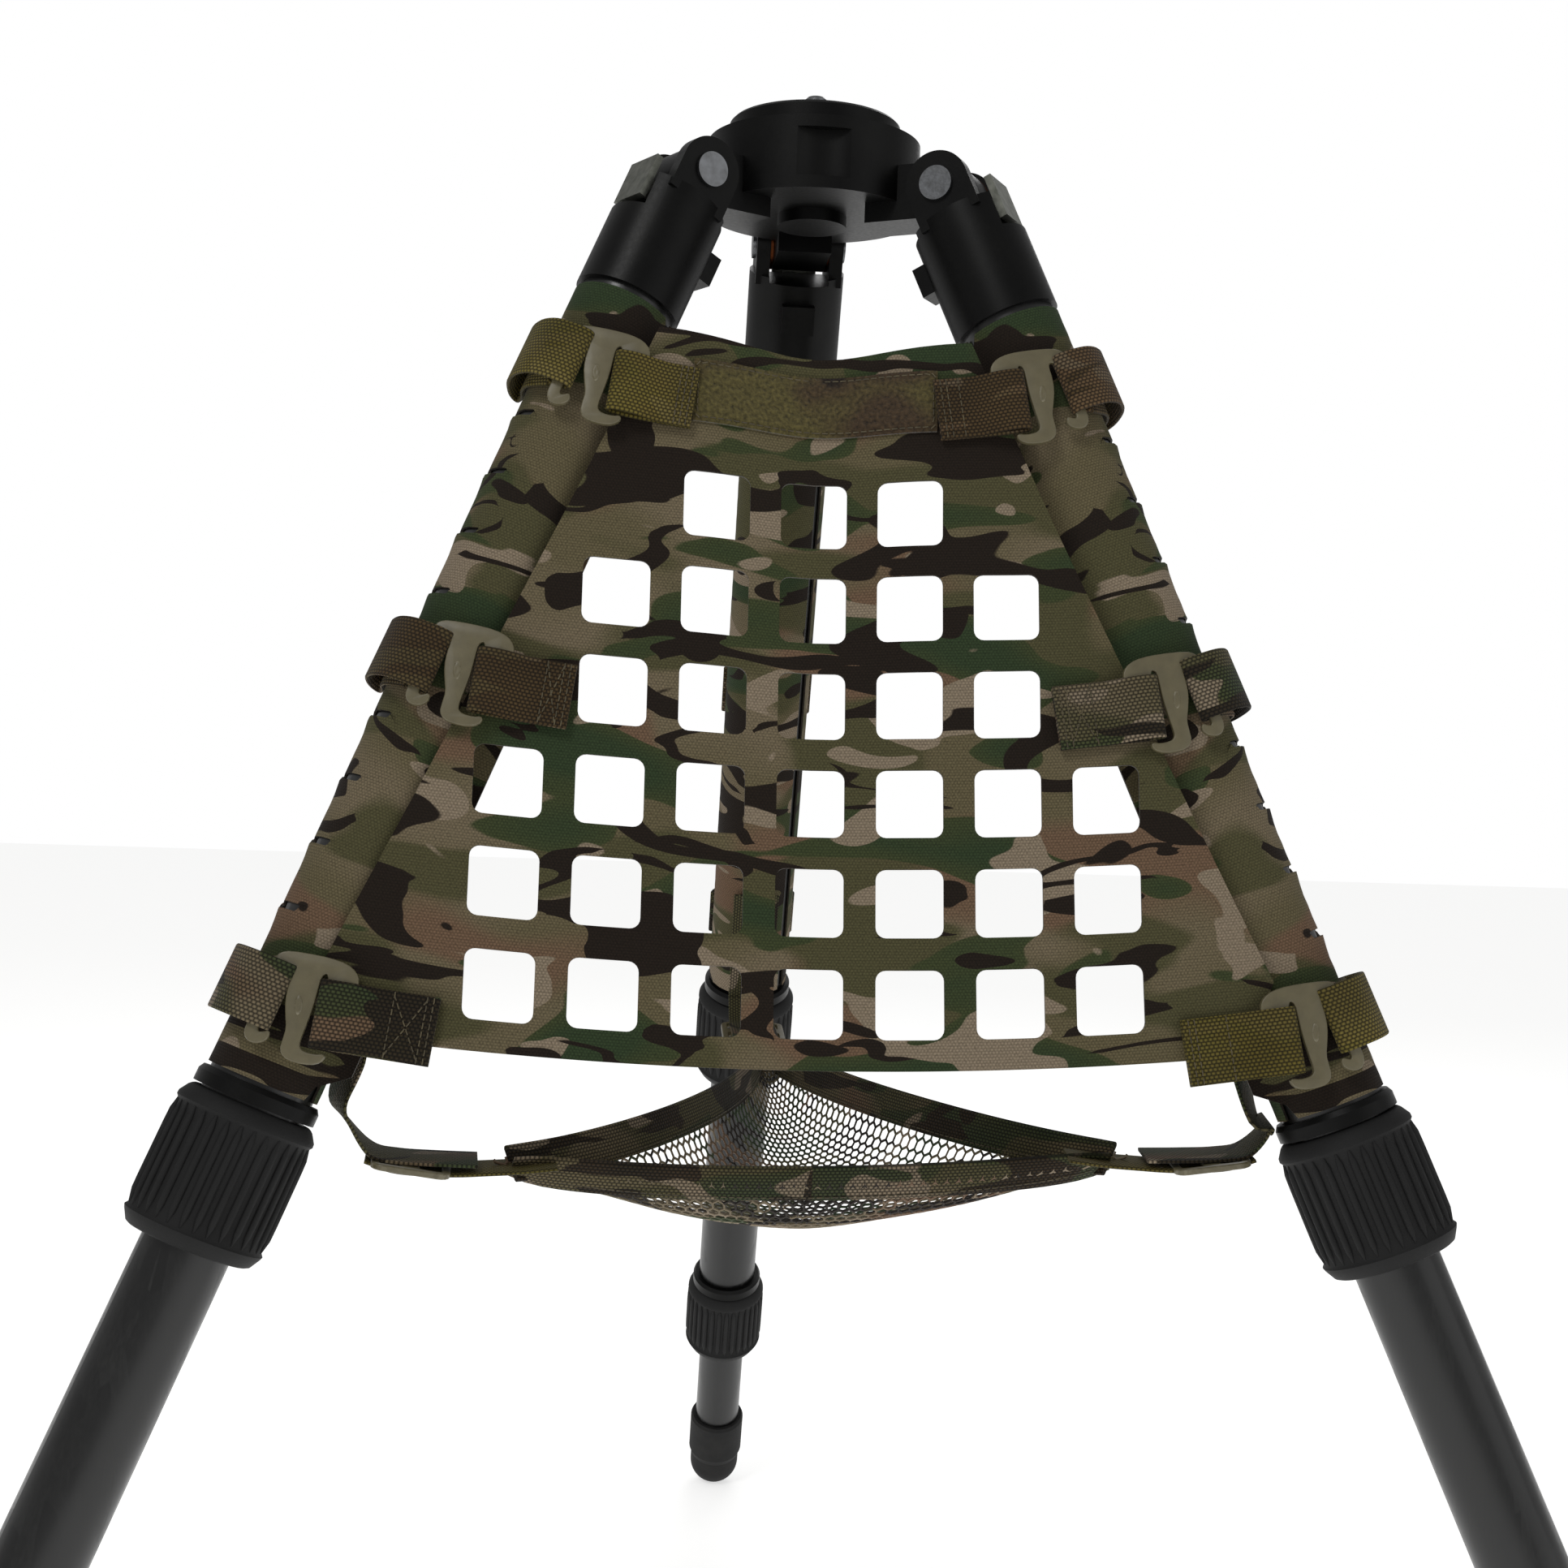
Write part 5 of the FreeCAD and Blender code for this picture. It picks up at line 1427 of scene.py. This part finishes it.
class TRIPOD_OT_binding(bpy.types.Operator):
    """Folds a printed tape over the net's three edges"""

    bl_idname = "tripod.binding"
    bl_label = "Tray Binding"

    def execute(self, context):
        halves = {leg: [] for leg in LEGS}
        seams = {leg: [] for leg in LEGS}
        for k in range(3):
            for end, first, second in ((0, k, (k + 1) % 3), (1, (k + 1) % 3, k)):
                path, across, sewn = [], [], []
                steps = 18
                for i in range(steps + 1):
                    t = 0.5 - (0.5 - 0.015) * i / steps
                    shares = [0.0, 0.0, 0.0]
                    shares[first], shares[second] = 1.0 - t, t
                    rim = tray_point(shares)
                    d = 0.055
                    inner = [s * (1 - d) + d / 3 for s in shares]
                    lean = (tray_point(inner) - rim).normalized()
                    path.append(rim + lean * (BIND_W / 2 - 1.5) * MM)
                    across.append(lean)
                    sewn.append(rim + lean * (BIND_W - 3.2) * MM)
                leg = LEGS[first]
                halves[leg].append(
                    strap(
                        "binding", path, across, BIND_W, BIND_T, FINISH["binding"],
                        130 * k, 45 * k + 20 * end,
                    )
                )
                for side in (-1, 1):
                    chain = []
                    for i, spot in enumerate(sewn):
                        tangent = (path[min(i + 1, steps)] - path[max(i - 1, 0)]).normalized()
                        normal = tangent.cross(across[i]).normalized()
                        chain.append(spot + normal * side * (BIND_T / 2 + 0.05) * MM)
                    seams[leg].append(chain)
        for leg in LEGS:
            piece = joined("tray_binding_" + leg, halves[leg])
            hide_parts("tray_binding")
            hung_from(piece)
            seam = stitched("binding_stitches_" + leg, seams[leg], TREES["stitch"], FINISH["thread"])
            hung_from(seam)
        return {"FINISHED"}


def tray_hang(leg):
    """Points of a tray strap: down the leg's inner side, under, and in to the corner."""
    place = LEG[leg]
    corner = TRAY[leg]
    side = {"left": 1.0, "right": -1.0, "rear": 0.0}[leg]
    down = [(-22.7, 0, -338), (-23.6, 0, -362), (-28.6, 0, -382), (-30.0, 2 * side, -398)]
    path = [place @ Vector(p) for p in down]
    out = path[-1] - corner
    out.z = 0
    out.normalize()
    path.append(corner + out * 52 * MM + Vector((0, 0, 14 * MM)))
    path.append(corner + out * 44 * MM + Vector((0, 0, 4.5 * MM)))
    path.append(corner + out * 34 * MM + Vector((0, 0, 2.0 * MM)))
    path.append(corner + out * 20 * MM + Vector((0, 0, 1.0 * MM)))
    path.append(corner + out * 4 * MM + Vector((0, 0, 0.3 * MM)))
    return path, out


class TRIPOD_OT_hangers(bpy.types.Operator):
    """Runs a strap and a ladder buckle from each leg to the tray's corner"""

    bl_idname = "tripod.hangers"
    bl_label = "Tray Straps and Buckles"

    def execute(self, context):
        look, metal = context.scene.tripod_cloth, context.scene.tripod_metal
        for leg in LEGS:
            points, out = tray_hang(leg)
            path = smooth_path(points, 6)
            pin = (LEG[leg].to_3x3() @ Vector((0, 1, 0))).normalized()
            level = Vector((0, 0, 1)).cross(out).normalized()
            if level.dot(pin) < 0:
                level = -level
            across = []
            for i in range(len(path)):
                t = min(1.0, max(0.0, (i - 12) / 18))
                across.append(pin.lerp(level, t).normalized())
            band = strap(
                "strap", path, across, look.web_width / MM - 1, look.web / MM,
                FINISH["web_print"], 11 * len(leg),
            )
            # the spare end comes back under the buckle
            tail = []
            for far, low in (
                (46, 2.2), (36, -1.4), (24, -2.8), (12, -3.2), (0, -2.8), (-13, -2.2), (-26, -1.0),
            ):
                tail.append(TRAY[leg] + out * far * MM + Vector((0, 0, low * MM)))
            back = strap(
                "tail", smooth_path(tail, 4), level, look.web_width / MM - 2, look.web / MM,
                FINISH["web_olive"], 60,
            )
            piece = joined("tray_strap_shown_" + leg, [band, back])
            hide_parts("tray_strap_" + leg)
            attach(piece, leg + "_leg")
            middle = TRAY[leg] + out * 29 * MM + Vector((0, 0, -0.6 * MM))
            tilted = (out + Vector((0, 0, 0.16))).normalized()
            where = frame_of(middle, tilted, level, tilted.cross(level))
            bars = []
            frame_line = rounded_hole(0, 0, 30, 33, 5, 4)
            bars.append(ladder("buckle", frame_line, where, metal.hook / MM))
            buckle = joined("tray_buckle_" + leg, bars)
            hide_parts("tray_hook_" + leg)
            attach(buckle, leg + "_leg")
        return {"FINISHED"}


def ladder(name, outline, where, thick):
    """A frame with two slots, cut as one plate and thickened."""
    holes = [rounded_hole(x, 0, 8.5, 26.5, 1.5, 3) for x in (-7.5, 7.5)]

    def place(x, y):
        return where @ Vector((x, y, 0.0))

    piece, _ = cut_sheet(name, outline, holes, place, thick, 4.0, [FINISH["hook"]] * 2)
    _flip(piece)
    bevel = piece.modifiers.new("softened", "BEVEL")
    bevel.width = 0.5 * MM
    bevel.segments = 2
    bevel.limit_method = "ANGLE"
    bevel.angle_limit = math.radians(50)
    return applied(piece)


# ------------------------------------------------------------ tripod parts

GRIPS = {
    "_grip_1": (27.0, 411.0, 54.0, 20.4, "_collar_1"),
    "_grip_2": (23.2, 621.0, 48.0, 17.1, "_collar_2"),
}


class TRIPOD_OT_grips(bpy.types.Operator):
    """Moulds the ribbed rubber twist grips"""

    bl_idname = "tripod.grips"
    bl_label = "Twist Grips"

    def execute(self, context):
        metal = context.scene.tripod_metal
        for leg in LEGS:
            for tag, (radius, top, tall, bore, body) in GRIPS.items():
                low, high = -top - tall, -top
                root = radius - 1.5
                tube = bore - (3.3 if tag == "_grip_1" else 3.3)
                outline = [
                    (tube, low), (radius - 4.2, low),
                    (radius - 3.0, low + 0.6), (radius - 0.9, low + 4.2),
                    (radius - 0.4, low + 5.4), (root, low + 6.8), (root, high - 7.4),
                    (radius - 0.4, high - 6.0), (radius - 0.5, high - 4.6), (radius - 2.6, high - 1.4),
                    (radius - 3.6, high - 0.5), (radius - 4.6, high), (bore, high), (bore, low + 9),
                    (tube, low + 9),
                ]
                local = revolved("grip", Matrix.Scale(MM, 4), outline, 96, FINISH["grip"], 42)
                local.data.transform(Matrix.Translation((0, 0, -(low + high) / 2 * MM)))
                _flip(local)
                piece = grown(
                    local,
                    TREES["ribs"],
                    {
                        "Ribs": metal.ribs,
                        "Ring Radius": (root - 0.1) * MM,
                        "Rib Length": (tall - 12.6) * MM,
                        "Rib Radius": 1.55 * MM,
                        "Rubber": FINISH["grip"],
                    },
                )
                turned = LEG[leg] @ Matrix.Translation((0, 0, (low + high) / 2)) @ Matrix.Scale(1 / MM, 4)
                piece.data.transform(turned)
                piece.name = leg + tag + "_shown"
                piece.data.name = piece.name
                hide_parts(leg + tag)
                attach(piece, leg + body)
        return {"FINISHED"}


# CAD nodes that keep their shape, by the end of their name
KEPT = {
    "hub_casting": "anodised", "top_plate": "anodised", "top_stud": "steel", "_yoke": "anodised",
    "_pin": "steel", "_washers": "copper", "_latch": "latch", "_upper_tube": "carbon",
    "_ring_1": "anodised", "_mid_tube": "carbon", "_ring_2": "anodised", "_low_tube": "carbon",
    "_foot": "foot",
}


class TRIPOD_OT_tripod(bpy.types.Operator):
    """Gives the tripod's own machined, moulded and carbon parts their finishes"""

    bl_idname = "tripod.tripod"
    bl_label = "Tripod Finishes"

    def execute(self, context):
        for name, node in frame["nodes"].items():
            for ending, finish in KEPT.items():
                if name.endswith(ending):
                    for held in node.material_slots:
                        held.material = FINISH[finish]
        return {"FINISHED"}


# ------------------------------------------------------------ the stage

EYE = Vector((-0.076703, -0.944983, 0.483582))
YAW, PITCH, ROLL = 0.086, -0.025, -0.035
FOCAL_PX, SIDE_PX, MIDDLE_Y = 2393.3, 1932.0, 960.5


WORLD_ON_TRIPOD, WORLD_SEEN = 0.36, 1.0
FLOOR_GLOW = 0.60
FLOOR_HALF = 6.0
LIGHTS = (
    ("key", (-0.9, -1.6, 2.2), 15.0, 0.7),
    ("fill", (1.6, -1.2, 1.0), 3.0, 1.4),
    ("rim", (0.4, 1.6, 1.6), 6.0, 1.0),
)
LIT_SPOT = (0, 0, 0.4)


def area_light(name, spot, aim, power, size):
    lamp = bpy.data.lights.new(name, "AREA")
    lamp.energy = power
    lamp.size = size
    made = bpy.data.objects.new(name, lamp)
    made.location = spot
    made.rotation_euler = (Vector(aim) - Vector(spot)).to_track_quat("-Z", "Y").to_euler()
    bpy.context.scene.collection.objects.link(made)


class TRIPOD_OT_stage(bpy.types.Operator):
    """Sets the pale floor, the soft light and the camera"""

    bl_idname = "tripod.stage"
    bl_label = "Stage"

    def execute(self, context):
        finish, _, shader = new_material("pale_floor")
        shader.inputs["Base Color"].default_value = linear("#f4f4f2")
        shader.inputs["Roughness"].default_value = 0.9
        shader.inputs["Emission Color"].default_value = (1.0, 1.0, 1.0, 1.0)
        shader.inputs["Emission Strength"].default_value = FLOOR_GLOW
        mesh = bpy.data.meshes.new("floor")
        wide = FLOOR_HALF
        mesh.from_pydata(
            [(-wide, -wide, 0), (wide, -wide, 0), (wide, wide, 0), (-wide, wide, 0)], [], [(0, 1, 2, 3)]
        )
        mesh.materials.append(finish)
        link("floor", mesh)
        world = bpy.data.worlds.new("studio")
        world.use_nodes = True
        back = world.node_tree.nodes["Background"]
        back.inputs[0].default_value = (1.0, 1.0, 1.0, 1.0)
        # the backdrop shows pure white, but lights the tripod only softly
        seen = add(world.node_tree, "ShaderNodeLightPath").outputs["Is Camera Ray"]
        ends = {0: seen, 3: WORLD_ON_TRIPOD, 4: WORLD_SEEN}
        power = add(world.node_tree, "ShaderNodeMapRange", ends).outputs[0]
        world.node_tree.links.new(power, back.inputs[1])
        context.scene.world = world
        for name, spot, power, width in LIGHTS:
            area_light(name, spot, LIT_SPOT, power, width)
        context.scene.view_settings.view_transform = "Standard"
        camera = bpy.data.cameras.new("camera")
        camera.sensor_width = 36.0
        camera.lens = FOCAL_PX / SIDE_PX * 36.0
        camera.shift_y = (MIDDLE_Y - SIDE_PX / 2) / SIDE_PX
        camera.clip_start = 0.01
        eye = bpy.data.objects.new("camera", camera)
        ahead = Vector(
            (math.sin(YAW) * math.cos(PITCH), math.cos(YAW) * math.cos(PITCH), math.sin(PITCH))
        )
        right = ahead.cross(Vector((0, 0, 1))).normalized()
        down = ahead.cross(right)
        turned = right * math.cos(ROLL) + down * math.sin(ROLL)
        down = down * math.cos(ROLL) - right * math.sin(ROLL)
        rows = [[turned[i], -down[i], -ahead[i], EYE[i]] for i in range(3)]
        eye.matrix_world = Matrix(rows + [[0, 0, 0, 1]])
        context.scene.collection.objects.link(eye)
        context.scene.camera = eye
        return {"FINISHED"}


# ------------------------------------------------------------ add-on

FINISH = {}
TREES = {}


class TRIPOD_OT_finishes(bpy.types.Operator):
    """Makes the materials and the geometry trees that the pieces share"""

    bl_idname = "tripod.finishes"
    bl_label = "Materials"

    def execute(self, context):
        FINISH.update(
            laminate=laminate_cloth(),
            edge=sealed_edge(),
            web_olive=webbing("olive_nylon_webbing", 3.0, "#544a1c", "#655a26", 0.12),
            web_brown=webbing("brown_nylon_webbing", 6.0, "#45361f", "#524127", 0.30),
            web_print=webbing("printed_nylon_webbing", 1.0, "#4b4423", "#3f3723", 0.85),
            binding=webbing("printed_binding_tape", 9.0, "#40391f", "#5c4a2f", 0.8),
            loop=loop_tape(),
            net=net_cord(),
            thread=thread(),
            hook=hook_paint(),
            anodised=anodised(),
            carbon=forged_carbon(),
            grip=moulded_rubber("moulded_grip_rubber", "#060606", "#0c0c0c", 0.72),
            foot=moulded_rubber("moulded_foot_rubber", "#101010", "#1d1c1b", 0.8),
            copper=bare_metal("copper_washer", "#5a2f1a", "#7a4527", 0.30, 0.0008),
            steel=bare_metal("turned_steel", "#6e6f70", "#85878a", 0.22, 0.0006),
            latch=bare_metal("bead_blasted_alloy", "#65675f", "#83847c", 0.38, 0.0005),
        )
        TREES.update(stitch=stitch_tree(), net=net_tree(), ribs=rib_tree())
        return {"FINISHED"}


PIECES = (
    TRIPOD_OT_finishes,
    TRIPOD_OT_tripod,
    TRIPOD_OT_grips,
    TRIPOD_OT_wraps,
    TRIPOD_OT_loops,
    TRIPOD_OT_hooks,
    TRIPOD_OT_tabs,
    TRIPOD_OT_panel,
    TRIPOD_OT_patch,
    TRIPOD_OT_tray,
    TRIPOD_OT_binding,
    TRIPOD_OT_hangers,
    TRIPOD_OT_stage,
)


class TRIPOD_PT_panel(bpy.types.Panel):
    """Lists the pieces and their sizes"""

    bl_idname = "TRIPOD_PT_panel"
    bl_label = "Field Tripod"
    bl_space_type = "VIEW_3D"
    bl_region_type = "UI"
    bl_category = "Tripod"

    def draw(self, context):
        for group in (context.scene.tripod_cloth, context.scene.tripod_metal):
            for name in group.__annotations__:
                self.layout.prop(group, name)
        for piece in PIECES:
            self.layout.operator(piece.bl_idname)


CLASSES = (TripodCloth, TripodMetal) + PIECES + (TRIPOD_PT_panel,)


def register():
    for made in CLASSES:
        bpy.utils.register_class(made)
    bpy.types.Scene.tripod_cloth = PointerProperty(type=TripodCloth)
    bpy.types.Scene.tripod_metal = PointerProperty(type=TripodMetal)


def unregister():
    del bpy.types.Scene.tripod_metal
    del bpy.types.Scene.tripod_cloth
    for made in reversed(CLASSES):
        bpy.utils.unregister_class(made)


def main():
    register()
    for piece in PIECES:
        group, name = piece.bl_idname.split(".")
        getattr(getattr(bpy.ops, group), name)()


if __name__ == "__main__":
    main()
